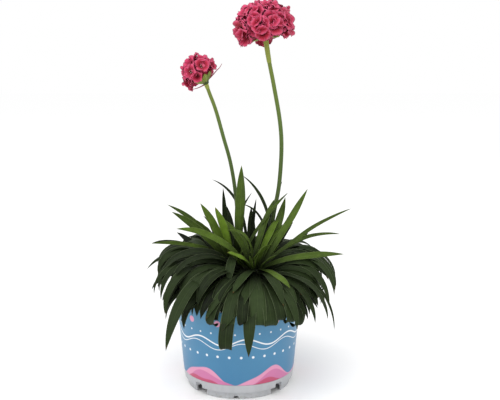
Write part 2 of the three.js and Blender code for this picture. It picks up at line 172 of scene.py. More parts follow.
# Injection-moulded polypropylene: pale grey, satin, with faint flow marks, a fine grain from the mould and a
# little dried compost washed down to the foot.
POT_GREY = "#b5b7ba"
POT_SHADE = "#adafb2"
POT_DUST = "#8f897d"
GRAIN = 0.6
FLOW_WIDTH = 9
polypropylene, tree, shader = finish_of("moulded polypropylene", Roughness=0.46, IOR=1.49)
place = add(tree, "ShaderNodeTexCoord")["Object"]
tall_place = add(tree, "ShaderNodeMapping", {}, {"Vector": place, "Scale": (1, 1, 0.25)})[0]
flow = add(tree, "ShaderNodeTexNoise", {},
           {"Vector": tall_place, "Scale": 1 / (FLOW_WIDTH * MM), "Detail": 3})
flow_share = add(tree, "ShaderNodeMapRange", {"interpolation_type": "SMOOTHSTEP"},
                 {"Value": flow["Fac"], "From Min": 0.35, "From Max": 0.7})[0]
plastic = add(tree, "ShaderNodeMix", {"data_type": "RGBA"},
              {0: flow_share, 6: linear(POT_GREY), 7: linear(POT_SHADE)})[2]
height = add(tree, "ShaderNodeSeparateXYZ", {}, {0: place})["Z"]
near_foot = add(tree, "ShaderNodeMapRange", {"interpolation_type": "SMOOTHSTEP"},
                {"Value": height, "From Min": 0.012, "From Max": 0.0, "To Max": 0.55})[0]
specks = add(tree, "ShaderNodeTexNoise", {}, {"Vector": place, "Scale": 1 / (3.5 * MM), "Detail": 5})["Fac"]
speck_share = add(tree, "ShaderNodeMapRange", {"interpolation_type": "SMOOTHSTEP"},
                  {"Value": specks, "From Min": 0.5, "From Max": 0.75})[0]
dust_share = add(tree, "ShaderNodeMath", {"operation": "MULTIPLY"}, {0: near_foot, 1: speck_share})[0]
dusty = add(tree, "ShaderNodeMix", {"data_type": "RGBA"}, {0: dust_share, 6: plastic, 7: linear(POT_DUST)})[2]
grain = add(tree, "ShaderNodeTexNoise", {}, {"Vector": place, "Scale": 1 / (GRAIN * MM), "Detail": 2})["Fac"]
relief = add(tree, "ShaderNodeMath", {"operation": "MULTIPLY_ADD"}, {0: flow_share, 1: 0.6, 2: grain})[0]
bump = add(tree, "ShaderNodeBump", {}, {"Height": relief, "Strength": 0.25, "Distance": 0.1 * MM})[0]
tree.links.new(dusty, shader.inputs["Base Color"])
tree.links.new(bump, shader.inputs["Normal"])

FOOT_INSIDE = FOOT_RADIUS - FOOT_THICKNESS
pot = shown("pot_shell", spun([
    (0, 0), (PAD_RADIUS, 0), (PAD_RADIUS + EDGE, BAND_BOTTOM),
    (FOOT_INSIDE, BAND_BOTTOM), (FOOT_INSIDE, 0), (FOOT_RADIUS, 0), (FOOT_RADIUS + EDGE / 2, BAND_BOTTOM),
    (BAND_RADIUS - EDGE, BAND_BOTTOM + EDGE / 2), (BAND_RADIUS, BAND_TOP),
    (BAND_RADIUS - RECESS, BAND_TOP), (wall_radius(LIP_BOTTOM) - RECESS, LIP_BOTTOM),
    (LIP_RADIUS, LIP_BOTTOM + EDGE / 2), (LIP_RADIUS, POT_HEIGHT - EDGE), (LIP_RADIUS - EDGE, POT_HEIGHT),
    (LIP_RADIUS - LIP_THICKNESS, POT_HEIGHT), (inside_radius(LIP_BOTTOM), LIP_BOTTOM),
    (inside_radius(CORNER_TOP), CORNER_TOP), (inside_radius(FLOOR_TOP) - 3, FLOOR_TOP), (0, FLOOR_TOP),
], CORNER_ROUNDING), polypropylene)
for cut in FOOT_CUTS:
    cutters = bmesh.new()
    tall = cut["top"] - cut["bottom"]
    across_foot = Matrix.Translation((0, -FOOT_RADIUS, cut["bottom"] + tall / 2))
    for quarter in (0, 90, 180, 270):
        turned = Matrix.Rotation(math.radians(cut["turn"] + quarter), 4, "Z")
        stretched = Matrix.Diagonal((cut["width"], FOOT_RADIUS / 2, tall, 1))
        bmesh.ops.create_cube(cutters, size=1, matrix=turned @ across_foot @ stretched)
    corners = [edge for edge in cutters.edges if edge.calc_length() > FOOT_RADIUS / 3]
    bmesh.ops.bevel(cutters, geom=corners, offset=EDGE, offset_type="OFFSET", segments=4, profile=0.5,
                    affect="EDGES", clamp_overlap=True, material=-1)
    cut_away(pot, cutters)
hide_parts("pot")
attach(pot, "root")

# Printed label
# A sleeve of thin polypropylene film, printed, wrapped round the wall and glued where its ends overlap at the
# back. Its print is plain and generic: a sky-blue ground, pink rolling bands, white waves and dots.

FILM = 0.5
FILM_LOW = BAND_TOP + 0.3
FILM_HIGH = LIP_BOTTOM - 0.3
SEAM_WIDTH = 7
SKY = "#34729c"
SKY_LIGHT = "#4a89ad"
PINK = "#c873a0"
DEEP_PINK = "#b94a6c"
PALE_PINK = "#d992b2"
INK_WHITE = "#e8ecf0"

printed_film, tree, shader = finish_of("printed film", Roughness=0.38, IOR=1.5)
place = add(tree, "ShaderNodeTexCoord")["Object"]
axes = add(tree, "ShaderNodeSeparateXYZ", {}, {0: place})
forward = add(tree, "ShaderNodeMath", {"operation": "MULTIPLY"}, {0: axes["Y"], 1: -1})[0]
turn = add(tree, "ShaderNodeMath", {"operation": "ARCTAN2"}, {0: axes["X"], 1: forward})[0]
height = add(tree, "ShaderNodeMath", {"operation": "DIVIDE"}, {0: axes["Z"], 1: MM})[0]


def rolling(mean, swings):
    """The height of a line that rolls round the pot, as a mean and (crests, swing, start) of each wave."""
    line = mean
    for crests, swing, start in swings:
        angle = add(tree, "ShaderNodeMath", {"operation": "MULTIPLY_ADD"}, {0: turn, 1: crests, 2: start})[0]
        wave = add(tree, "ShaderNodeMath", {"operation": "SINE"}, {0: angle})[0]
        line = add(tree, "ShaderNodeMath", {"operation": "MULTIPLY_ADD"}, {0: wave, 1: swing, 2: line})[0]
    return line


def printed(ground, share, ink):
    """A ground with ink over it, by the share of ink."""
    return add(tree, "ShaderNodeMix", {"data_type": "RGBA"}, {0: share, 6: ground, 7: linear(ink)})[2]


def below(line, softness=0.5):
    """The share of ink under a line."""
    gap = add(tree, "ShaderNodeMath", {"operation": "SUBTRACT"}, {0: line, 1: height})[0]
    return add(tree, "ShaderNodeMapRange", {}, {"Value": gap, "From Min": -softness, "From Max": softness})[0]


def along(line, width):
    """The share of ink on a line that is drawn with a pen of that width."""
    gap = add(tree, "ShaderNodeMath", {"operation": "SUBTRACT"}, {0: line, 1: height})[0]
    away = add(tree, "ShaderNodeMath", {"operation": "ABSOLUTE"}, {0: gap})[0]
    return add(tree, "ShaderNodeMapRange", {},
               {"Value": away, "From Min": width / 2 + 0.2, "From Max": width / 2 - 0.2})[0]


def dotted(count, mean, radius, start=0.0):
    """The share of ink in a row of round dots at one height."""
    cell = add(tree, "ShaderNodeMath", {"operation": "MULTIPLY_ADD"},
               {0: turn, 1: count / (2 * math.pi), 2: start})[0]
    share = add(tree, "ShaderNodeMath", {"operation": "FRACT"}, {0: cell})[0]
    sideways = add(tree, "ShaderNodeMath", {"operation": "SUBTRACT"}, {0: share, 1: 0.5})[0]
    pitch = 2 * math.pi * wall_radius(mean) / count
    across = add(tree, "ShaderNodeMath", {"operation": "MULTIPLY"}, {0: sideways, 1: pitch})[0]
    upwards = add(tree, "ShaderNodeMath", {"operation": "SUBTRACT"}, {0: height, 1: mean})[0]
    spot = add(tree, "ShaderNodeCombineXYZ", {}, {0: across, 1: upwards})[0]
    away = add(tree, "ShaderNodeVectorMath", {"operation": "LENGTH"}, {0: spot})["Value"]
    return add(tree, "ShaderNodeMapRange", {},
               {"Value": away, "From Min": radius + 0.25, "From Max": radius - 0.25})[0]


wash = add(tree, "ShaderNodeTexNoise", {}, {"Vector": place, "Scale": 1 / (45 * MM), "Detail": 1})["Fac"]
upper = add(tree, "ShaderNodeMapRange", {},
            {"Value": height, "From Min": 20, "From Max": 90, "To Max": 0.6})[0]
light = add(tree, "ShaderNodeMath", {"operation": "MULTIPLY_ADD", "use_clamp": True},
            {0: wash, 1: 0.5, 2: upper})[0]
colour = printed(add(tree, "ShaderNodeRGB")[0], light, SKY_LIGHT)
tree.nodes["RGB"].outputs[0].default_value = linear(SKY)
colour = printed(colour, below(rolling(24, [(5, 8, 4.9), (11, 1.6, 0.4)])), PALE_PINK)
colour = printed(colour, below(rolling(20.5, [(5, 7, 4.6), (9, 1.5, 2.4)])), PINK)
colour = printed(colour, below(rolling(16.5, [(5, 4, 5.2), (13, 1.2, 1.0)])), DEEP_PINK)
colour = printed(colour, dotted(13, 80, 3.2, 0.2), PALE_PINK)
colour = printed(colour, along(rolling(61, [(8, 3.6, 0.6)]), 1.5), INK_WHITE)
colour = printed(colour, along(rolling(56.5, [(8, 3.6, 1.2)]), 0.8), INK_WHITE)
colour = printed(colour, dotted(32, 45.5, 1.3, 0.3), INK_WHITE)
colour = printed(colour, dotted(32, 69.5, 0.9, 0.8), INK_WHITE)
screen = add(tree, "ShaderNodeTexNoise", {}, {"Vector": place, "Scale": 1 / (0.8 * MM), "Detail": 3})["Fac"]
crease = add(tree, "ShaderNodeTexNoise", {}, {"Vector": place, "Scale": 1 / (22 * MM), "Detail": 2})["Fac"]
relief = add(tree, "ShaderNodeMath", {"operation": "MULTIPLY_ADD"}, {0: crease, 1: 8, 2: screen})[0]
bump = add(tree, "ShaderNodeBump", {}, {"Height": relief, "Strength": 0.2, "Distance": 0.08 * MM})[0]
tree.links.new(colour, shader.inputs["Base Color"])
tree.links.new(bump, shader.inputs["Normal"])

label = shown("label_sleeve", spun([
    (wall_radius(FILM_LOW) - FILM, FILM_LOW), (wall_radius(FILM_LOW), FILM_LOW),
    (wall_radius(FILM_HIGH), FILM_HIGH), (wall_radius(FILM_HIGH) - FILM, FILM_HIGH),
], closed=True), printed_film)
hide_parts("printed_label")
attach(label, "root")

seam_bm = blank()
bmesh.ops.create_cube(seam_bm, size=1)
bmesh.ops.scale(seam_bm, vec=(SEAM_WIDTH, 0.5 * FILM, FILM_HIGH - FILM_LOW), verts=seam_bm.verts)
bmesh.ops.subdivide_edges(seam_bm, edges=seam_bm.edges[:], cuts=5, use_grid_fill=True)
for vert in seam_bm.verts:
    vert.co.z += (FILM_LOW + FILM_HIGH) / 2
    out = wall_radius(vert.co.z) + vert.co.y
    side = vert.co.x / wall_radius(vert.co.z)
    vert.co = (out * math.sin(side), out * math.cos(side), vert.co.z)
seam = shown("label_seam", seam_bm, printed_film)
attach(seam, "root")

# Compost
# Moist peat compost that fills the pot to a little below its lip, with loose crumbs on top. The plant's
# woody stock stands in it.

SOIL_RIM = 91
CRUMB_COUNT = 420
CRUMB_SEED = 11


def draws(seed):
    """The same even draws each time, after Park and Miller."""
    state = seed

    def draw(low, high):
        nonlocal state
        state = (state * 16807) % 2147483647
        return low + (high - low) * (state / 2147483647)
    return draw


# Peat compost: nearly black when moist, matt, with paler fibres in it.
compost, tree, shader = finish_of("moist peat compost", Roughness=0.95, IOR=1.3)
place = add(tree, "ShaderNodeTexCoord")["Object"]
fibres = add(tree, "ShaderNodeTexNoise", {}, {"Vector": place, "Scale": 1 / (1.6 * MM), "Detail": 6})["Fac"]
fibre_share = add(tree, "ShaderNodeMapRange", {"interpolation_type": "SMOOTHSTEP"},
                  {"Value": fibres, "From Min": 0.48, "From Max": 0.72})[0]
earth = add(tree, "ShaderNodeMix", {"data_type": "RGBA"},
            {0: fibre_share, 6: linear("#1b1511"), 7: linear("#4a3829")})[2]
bump = add(tree, "ShaderNodeBump", {}, {"Height": fibres, "Strength": 0.9, "Distance": 0.8 * MM})[0]
tree.links.new(earth, shader.inputs["Base Color"])
tree.links.new(bump, shader.inputs["Normal"])

soil_edge = inside_radius(SOIL_RIM) - 0.3
soil_top = [(soil_edge - step * soil_edge / 24, SOIL_RIM + min(step / 3, 3)) for step in range(25)]
soil_bm = spun([(0, FLOOR_TOP + 0.3), (inside_radius(FLOOR_TOP) - 3.3, FLOOR_TOP + 0.3),
                (inside_radius(CORNER_TOP) - 0.3, CORNER_TOP + 0.3), *soil_top])
for vert in soil_bm.verts:
    x, y, z = vert.co
    if z > SOIL_RIM + 0.1:
        coarse = 0.9 * math.sin(x / 4.3 + 1) * math.cos(y / 5.1)
        vert.co.z += coarse + 0.6 * math.sin((x + y) / 2.9) + 0.35 * math.sin(x * 1.7) * math.sin(y * 1.9)
draw = draws(CRUMB_SEED)
for _ in range(CRUMB_COUNT):
    radius, turn_by = soil_edge * math.sqrt(draw(0.2, 0.93)), draw(0, 2 * math.pi)
    crumb = bmesh.ops.create_icosphere(soil_bm, subdivisions=1, radius=draw(0.5, 1.7))["verts"]
    bmesh.ops.scale(soil_bm, vec=(1, draw(0.6, 1), draw(0.5, 0.9)), verts=crumb)
    bmesh.ops.rotate(soil_bm, cent=(0, 0, 0), matrix=Matrix.Rotation(draw(0, 6), 3, "Z"), verts=crumb)
    up = SOIL_RIM + min((soil_edge - radius) / 8, 3) + draw(-0.2, 0.7)
    spot = (radius * math.cos(turn_by), radius * math.sin(turn_by), up)
    bmesh.ops.translate(soil_bm, vec=spot, verts=crumb)
soil = shown("compost", soil_bm, compost)
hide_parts("soil")
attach(soil, "root")

# Crown
# The short woody stock in the compost, with four shoots on it. Dry brown bases of earlier leaves still wrap
# the shoots, below the living leaves.

SHOOTS = {
    "front": {"x": 16, "y": -14, "radius": 30, "first": -170, "last": 30, "width": 10.2, "size": 0.97,
              "lift": 2},
    "left": {"x": -16, "y": 6, "radius": 28, "first": 100, "last": 240, "width": 9.6, "size": 0.84,
             "lift": 12},
    "right": {"x": 22, "y": 22, "radius": 26, "first": -40, "last": 84, "width": 9.3, "size": 0.93,
              "lift": 8},
    "back": {"x": 0, "y": 22, "radius": 26, "first": 50, "last": 150, "width": 9, "size": 0.95, "lift": 12},
}
CROWN_HEIGHT = 98
CROWN_RISE = 23
SHOOT_SHARE = 0.72
STOCK = {"x": 6, "z": 78, "top": 15, "bottom": 7, "height": 36}
HEARTS = {"front": (16, -14), "middle": (6, -5), "left": (-4, 4)}
HEART_HEIGHT = 116
HEART_RADIUS = 8.5
HEART_RISE = 11
RIB_STEPS = 90
LEAF_CURL = 1.3
LEAF_TURN = 137.5
BASE_COUNT = 26
ROOT_SHARE = 0.45
TIP_POWER = 2.3
WIDEST_AT = 0.6
TUCKED_WIDEST_AT = 0.72
TUCK_AT = 0.84
TUCK_SPAN = 0.04
LIP_CLEARANCE = 1.2
MERGE = 0.002
LOOK_SEED = 5
look = draws(LOOK_SEED)


def sheet(bm, columns, rows, place_at, tone=0.5):
    """A patch of faces. place_at(u, v) gives each point's place and its texture coordinates."""
    made = bmesh.ops.create_grid(bm, x_segments=columns, y_segments=rows, size=0.5)["verts"]
    uv_layer = bm.loops.layers.uv.active
    tone_layer = bm.verts.layers.float["tone"]
    texture = {}
    for vert in made:
        vert.co, texture[vert] = place_at(vert.co.x + 0.5, vert.co.y + 0.5)
        vert[tone_layer] = tone
    for face in {face for vert in made for face in vert.link_faces}:
        for loop in face.loops:
            loop[uv_layer].uv = texture[loop.vert]


def lay_over_lip(points):
    """Draws a hanging leaf outwards and up until it goes over the pot's lip and hangs clear of it."""
    if min(point.z for point in points[len(points) // 2:]) > POT_HEIGHT:
        return
    clear = LIP_RADIUS + LIP_CLEARANCE
    stretch = max(0, (clear + 2) / max(math.hypot(point.x, point.y) for point in points) - 1)
    for step, point in enumerate(points):
        grown = 1 + stretch * min(1, 1.7 * step / RIB_STEPS)
        point.x *= grown
        point.y *= grown
    crossing = [math.hypot(point.x, point.y) > clear for point in points].index(True)
    near = [point.z for point in points[:crossing + 1] if math.hypot(point.x, point.y) > 0.7 * LIP_RADIUS]
    lift = max(0, POT_HEIGHT + LIP_CLEARANCE - min(near))
    for step, point in enumerate(points):
        point.z += lift * min(1, step / crossing)
        inside = max(1, clear / math.hypot(point.x, point.y)) if step > crossing else 1
        point.x *= inside
        point.y *= inside


def midrib(shape):
    """Points and directions along a leaf's midrib: it rises, turns over, sweeps and tucks its tip."""
    def direction(share):
        folded = shape.get("tuck", 0) / (1 + math.exp((TUCK_AT - share) / TUCK_SPAN))
        up = math.radians(shape["rise"] - shape["bend"] * share ** shape.get("curl", LEAF_CURL) - folded)
        heading = math.radians(shape["heading"] + shape.get("sweep", 0) * share)
        return Vector((math.cos(up) * math.cos(heading), math.cos(up) * math.sin(heading), math.sin(up)))
    points = [Vector(shape["start"])]
    for step in range(RIB_STEPS):
        points.append(points[-1] + direction((step + 0.5) / RIB_STEPS) * shape["length"] / RIB_STEPS)
    if shape.get("hangs"):
        lay_over_lip(points)
    return points, direction


def breadth(share, widest):
    """Share of its full width that a leaf has at a place along it."""
    if share < widest:
        return ROOT_SHARE + (1 - ROOT_SHARE) * math.sin(math.pi / 2 * share / widest)
    return 1 - ((share - widest) / (1 - widest)) ** TIP_POWER


def add_leaf(bm, shape, half_columns=5, rows=26, thick=0.6, channel=0.8, pose=Matrix(), tones=(0, 1)):
    """A strap leaf, closed all round: channelled above, keeled below, thin at its slightly waved margins."""
    points, direction = midrib(shape)
    widest = TUCKED_WIDEST_AT if shape.get("tuck") else WIDEST_AT
    wave, phase = look(0.15, 0.45), look(0, 6.28)

    def place_at(u, v):
        share = max(0.0, (v * rows - 1) / (rows - 1))
        lower = u > 0.5
        across = 3 - 4 * u if lower else 4 * u - 1
        wide = breadth(share, widest) if v > 1e-6 else 0.0
        rib = min(int(share * RIB_STEPS), RIB_STEPS - 1)
        point = points[rib].lerp(points[rib + 1], share * RIB_STEPS - rib)
        forward = direction(share)
        heading = math.radians(shape["heading"] + shape.get("sweep", 0) * share)
        right = Vector((math.sin(heading), -math.cos(heading), 0))
        right.rotate(Quaternion(forward, math.radians(shape.get("face", 0) + shape.get("roll", 0) * share)))
        up = right.cross(forward)
        depth = channel * math.sqrt(wide) * (1 - across ** 2)
        if lower:
            keel = 0.75 + 0.5 * math.exp(-(across / 0.25) ** 2)
            depth += thick * math.sqrt(wide) * (1 - across ** 4) * keel
        ripple = wave * wide * across * math.sin(14 * share + phase + across)
        point = point + right * (across * shape["width"] / 2 * wide) + up * (ripple - depth)
        return pose @ point, ((across + 1) / 2, share)
    drawn = look(*tones)
    sheet(bm, 2 * half_columns, rows, place_at, shape.get("tone", drawn))


def rooted(centre, out, height, shape):
    """A leaf shape with its root a little way out from its growing point, on the side that it heads for."""
    heading = math.radians(shape["heading"])
    x, y = shape.get("at", (out * math.cos(heading), out * math.sin(heading)))
    return {**shape, "start": (centre[0] + x, centre[1] + y, height + shape.get("up", 0))}


# Dead leaf bases and woody stock: dull brown and fibrous, painted nearly black as shade, deep under the
# cushion.
dead_leaf_in_painted_shade, tree, shader = finish_of("dry leaf bases in painted shade", Roughness=0.85, IOR=1.35)
place = add(tree, "ShaderNodeTexCoord")["Object"]
fibre_place = add(tree, "ShaderNodeMapping", {}, {"Vector": place, "Scale": (1, 1, 0.2)})[0]
fibre = add(tree, "ShaderNodeTexNoise", {},
            {"Vector": fibre_place, "Scale": 1 / (0.9 * MM), "Detail": 4})["Fac"]
# Painted shade: the brown of the leaf bases is darkened nearly to black.
brown = add(tree, "ShaderNodeMix", {"data_type": "RGBA"},
            {0: fibre, 6: linear("#0b0a07"), 7: linear("#231b11")})[2]
bump = add(tree, "ShaderNodeBump", {}, {"Height": fibre, "Strength": 0.6, "Distance": 0.3 * MM})[0]
tree.links.new(brown, shader.inputs["Base Color"])
tree.links.new(bump, shader.inputs["Normal"])

crown_bm = blank()
stock = bmesh.ops.create_cone(crown_bm, cap_ends=True, segments=24, radius1=STOCK["bottom"],
                              radius2=STOCK["top"], depth=STOCK["height"])["verts"]
bmesh.ops.translate(crown_bm, vec=(STOCK["x"], 0, STOCK["z"]), verts=stock)
for shoot in SHOOTS.values():
    ball = bmesh.ops.create_icosphere(crown_bm, subdivisions=3, radius=SHOOT_SHARE)["verts"]
    bmesh.ops.scale(crown_bm, vec=(shoot["radius"], shoot["radius"], CROWN_RISE), verts=ball)
    bmesh.ops.translate(crown_bm, vec=(shoot["x"], shoot["y"], CROWN_HEIGHT), verts=ball)
    for step in range(BASE_COUNT):
        heading = step * LEAF_TURN
        base = {"heading": heading, "rise": look(10, 60), "bend": look(60, 130), "length": look(14, 26),
                "width": look(4, 7), "roll": look(-20, 20)}
        out = SHOOT_SHARE * shoot["radius"] * look(0.35, 0.9)
        add_leaf(crown_bm, rooted((shoot["x"], shoot["y"]), out, look(92, 108), base), 2, 8)
crown = shown("crown_and_leaf_bases", crown_bm, dead_leaf_in_painted_shade, merge=MERGE)
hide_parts("leaf_cushion")
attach(crown, "root")

# Old leaves
# The evergreen cushion: strap leaves, leathery and dark, that rise from the shoots, arch over the pot's lip
# and hang. Many fold their tips under. Five faint veins run along each, between thin pale margins that are
# partly painted highlight. Painted shade darkens the lower layers, the leaves between and the roots, and
# painted light makes the leaves that head to the right paler.

# Each layer draws its leaves' tones from its own range; the lower layers have darker ranges, as painted
# shade.
LAYERS = [
    {"out": 6, "height": 114, "rise": 47, "bend": 120, "length": 84, "step": 30, "inset": 6, "tucked": 0,
     "tones": (0.45, 1.0), "parted": (-142, -50)},
    {"out": 9, "height": 113, "rise": 51, "bend": 150, "length": 98, "step": 24, "inset": 0, "tucked": 0.5,
     "tones": (0.3, 0.9), "parted": (-128, -54)},
    {"out": 13, "height": 109, "rise": 36, "bend": 134, "length": 88, "step": 26, "inset": 3, "tucked": 0.8,
     "tones": (0.1, 0.65)},
    {"out": 17, "height": 103, "rise": 20, "bend": 108, "length": 76, "step": 48, "inset": 8, "tucked": 0,
     "tones": (-0.1, 0.35)},
]
HANGING = {"turn": 0, "less_bend": 0, "length": 1, "curl": 1.5}
TUCKED = {"turn": 115, "less_bend": 15, "length": 1.2, "curl": LEAF_CURL}
MEAN_TO_RIM = 50
FRONT_HEADING = -80
FRONT_DROP = 36
FRONT_BEND = 1.3
FRONT_SHORTER = 0.28
TUCKED_GAIN = 0.2
SIDE_FACE = 22
CUSHION_SEED = 20261
FILLER_SEED = 77
FILLERS = 2
FILLER_LENGTH = 0.95
# How much darker the filler leaves are painted, as shade in the gaps between the main leaves.
FILLER_PAINTED_SHADE = 0.3
# How much paler the leaves that head to the right are painted, as light falling on that side.
RIGHT_PAINTED_LIGHT = 0.45
RIGHT_HEADING = -15
STEEPEST = 80
FALLEN_LOWEST = 106
FALLEN_CLIMB = 12
FALLEN_TONES = {"front": (0.5, 1.0), "left": (0.3, 0.8), "right": (0.4, 0.9), "back": (-0.1, 0.4)}
FALLEN = {
    "front": [
        {"heading": -119, "rise": 8, "bend": 50, "curl": 1.2, "length": 52, "width": 9.5, "at": (2, -5),
         "up": 22, "tone": 1.2},
        {"heading": -124, "rise": 4, "bend": 60, "curl": 1.2, "length": 55, "width": 8.5, "at": (-8, -4),
         "up": 22, "tone": 0.9},
        {"heading": -112, "rise": 4, "bend": 66, "curl": 1, "length": 71, "width": 7, "sweep": -38,
         "at": (-11, -15), "up": 20, "face": -40, "tone": 1.1},
        {"heading": -100, "rise": 84, "bend": 160, "curl": 0.6, "length": 52, "width": 9, "at": (-19, 5),
         "up": 26, "tone": 0.7},
        {"heading": -92, "rise": 2, "bend": 52, "curl": 0.8, "length": 88, "width": 11.5, "sweep": -52,
         "at": (0, -8), "up": 19, "tone": 1.0},
        {"heading": -95, "rise": 10, "bend": 104, "length": 100, "width": 12, "tone": 0.7},
        {"heading": -116, "rise": 4, "bend": 94, "length": 118, "width": 14, "sweep": 20, "tuck": 115,
         "tone": 0.4},
        {"heading": -58, "rise": 26, "bend": 118, "length": 88, "width": 9.5, "tone": 0.9},
        {"heading": -88, "rise": 6, "bend": 102, "length": 90, "width": 16, "tuck": 115, "up": 12,
         "tone": 1.25},
        {"heading": -77, "rise": 6, "bend": 102, "length": 90, "width": 14.5, "tuck": 115, "up": 11,
         "tone": 0.9},
        {"heading": -61, "rise": 14, "bend": 110, "length": 94, "width": 11, "tuck": 115, "up": 8,
         "tone": 0.8},
        {"heading": -117, "rise": 12, "bend": 108, "length": 106, "width": 12.5, "sweep": 22, "tuck": 115,
         "up": 6, "tone": 0.8},
        {"heading": -128, "rise": 8, "bend": 92, "length": 83, "width": 10, "up": 4, "tone": 0.7},
        {"heading": -127, "rise": 14, "bend": 104, "length": 96, "width": 11, "tuck": 115, "up": 4,
         "tone": 0.75},
        {"heading": -138, "rise": 18, "bend": 104, "length": 82, "width": 11, "up": 6, "tone": 0.75},
        {"heading": -66, "rise": 18, "bend": 84, "length": 66, "width": 10, "up": 12, "tone": 0.9},
        {"heading": -69, "rise": 14, "bend": 102, "length": 88, "width": 12, "tuck": 115, "up": 7,
         "tone": 0.5},
        {"heading": -147, "rise": 26, "bend": 120, "length": 88, "width": 11, "up": 6, "tone": 0.55},
        {"heading": -33, "rise": 30, "bend": 118, "length": 98, "width": 9, "up": 2, "tone": 0.7},
        {"heading": -42, "rise": 26, "bend": 114, "length": 90, "width": 9, "up": 2, "tone": 0.6},
        {"heading": -51, "rise": 12, "bend": 106, "length": 90, "width": 12, "tuck": 115, "up": 2,
         "tone": 0.4},
    ],
    "left": [
        {"heading": -112, "rise": 24, "bend": 96, "length": 141, "width": 12, "sweep": -3, "face": -10,
         "tone": 0.8},
        {"heading": -131, "rise": 42, "bend": 138, "length": 104, "width": 9, "face": -15},
        {"heading": 172, "rise": 56, "bend": 75, "length": 78, "width": 5, "sweep": 8, "face": -30},
        {"heading": 186, "rise": 42, "bend": 96, "length": 80, "width": 5.5, "face": -30, "up": 6},
        {"heading": 212, "rise": 38, "bend": 100, "length": 82, "width": 7, "face": -25, "up": 6},
        {"heading": 190, "rise": 50, "bend": 146, "length": 83, "width": 7, "face": -20, "up": 4},
        {"heading": 197, "rise": 42, "bend": 134, "length": 87, "width": 6.5, "face": -15, "up": 2},
        {"heading": 205, "rise": 48, "bend": 146, "length": 87, "width": 7, "face": -15, "up": 4},
        {"heading": 218, "rise": 44, "bend": 138, "length": 93, "width": 7.5, "face": -10, "up": 4},
        {"heading": 228, "rise": 36, "bend": 128, "length": 98, "width": 8, "face": -10, "up": 2},
        {"heading": -106, "rise": 18, "bend": 106, "length": 78, "width": 12, "at": (-8, -8), "up": 4,
         "tone": 0.2},
        {"heading": -95, "rise": 16, "bend": 106, "length": 74, "width": 12, "at": (6, -11), "up": 4,
         "tone": 0.2},
    ],
    "right": [
        {"heading": -46, "rise": 28, "bend": 118, "length": 125, "width": 4},
        {"heading": 2, "rise": 50, "bend": 140, "length": 98, "width": 5.5, "face": 30},
        {"heading": 180, "rise": 90, "bend": 58, "curl": 2.4, "length": 120, "width": 5, "at": (14, 9),
         "face": -40},
        {"heading": -30, "rise": 48, "bend": 96, "length": 70, "width": 6, "face": 25, "up": 6},
        {"heading": -8, "rise": 46, "bend": 90, "length": 72, "width": 5, "face": 25, "up": 6},
        {"heading": -32, "rise": 45, "bend": 136, "length": 106, "width": 8, "face": 12, "up": 3,
         "tone": 1.0},
        {"heading": -22, "rise": 45, "bend": 138, "length": 101, "width": 8, "face": 16, "up": 3,
         "tone": 1.1},
        {"heading": -12, "rise": 44, "bend": 136, "length": 98, "width": 7.5, "face": 20, "up": 3,
         "tone": 0.9},
        {"heading": -2, "rise": 44, "bend": 134, "length": 95, "width": 7, "face": 20, "up": 3,
         "tone": 0.7},
        {"heading": -42, "rise": 40, "bend": 128, "length": 108, "width": 8.5, "face": 10, "tone": 0.9},
    ],
    "back": [
        {"heading": 168, "rise": 92, "bend": 76, "curl": 2.5, "length": 120, "width": 4.5, "at": (8, 0),
         "face": -30},
        {"heading": 120, "rise": 88, "bend": 6, "length": 98, "width": 6.5, "at": (-12, -6)},
        {"heading": 170, "rise": 84, "bend": 40, "length": 76, "width": 4.5, "at": (-8, -4), "face": -30},
        {"heading": 39, "rise": 71, "bend": 6, "length": 108, "width": 4.5, "at": (16, 2), "face": 30},
        {"heading": 20, "rise": 66, "bend": 20, "length": 64, "width": 5, "at": (24, 2), "face": 20},
        {"heading": 92, "rise": 86, "bend": 20, "length": 76, "width": 9, "at": (14, 0)},
        {"heading": 60, "rise": 84, "bend": 14, "length": 86, "width": 4.5, "at": (10, 0), "face": 20},
        {"heading": 180, "rise": 92, "bend": 84, "curl": 3, "length": 92, "width": 4.5, "at": (30, 0),
         "face": -30},
        {"heading": 20, "rise": 88, "bend": 40, "curl": 2.5, "length": 96, "width": 4.5, "at": (-6, 0),
         "face": 20},
        {"heading": 50, "rise": 62, "bend": 40, "length": 76, "width": 8, "at": (26, 0), "face": 20},
        {"heading": 110, "rise": 66, "bend": 60, "length": 76, "width": 8, "at": (-20, 0), "face": -20},
        {"heading": 70, "rise": 76, "bend": 30, "length": 78, "width": 8.5, "at": (20, 0), "face": 10},
        {"heading": 130, "rise": 72, "bend": 30, "length": 78, "width": 8.5, "at": (-10, 0), "face": -10},
        {"heading": 110, "rise": 80, "bend": 30, "length": 80, "width": 8, "at": (-2, 0)},
        {"heading": 70, "rise": 74, "bend": 36, "length": 72, "width": 9, "at": (30, -4), "face": 20},
        {"heading": 40, "rise": 60, "bend": 50, "length": 72, "width": 9, "at": (34, -8), "face": 20},
        {"heading": 140, "rise": 62, "bend": 50, "length": 72, "width": 9, "at": (-26, -10), "face": -20},
    ],
}


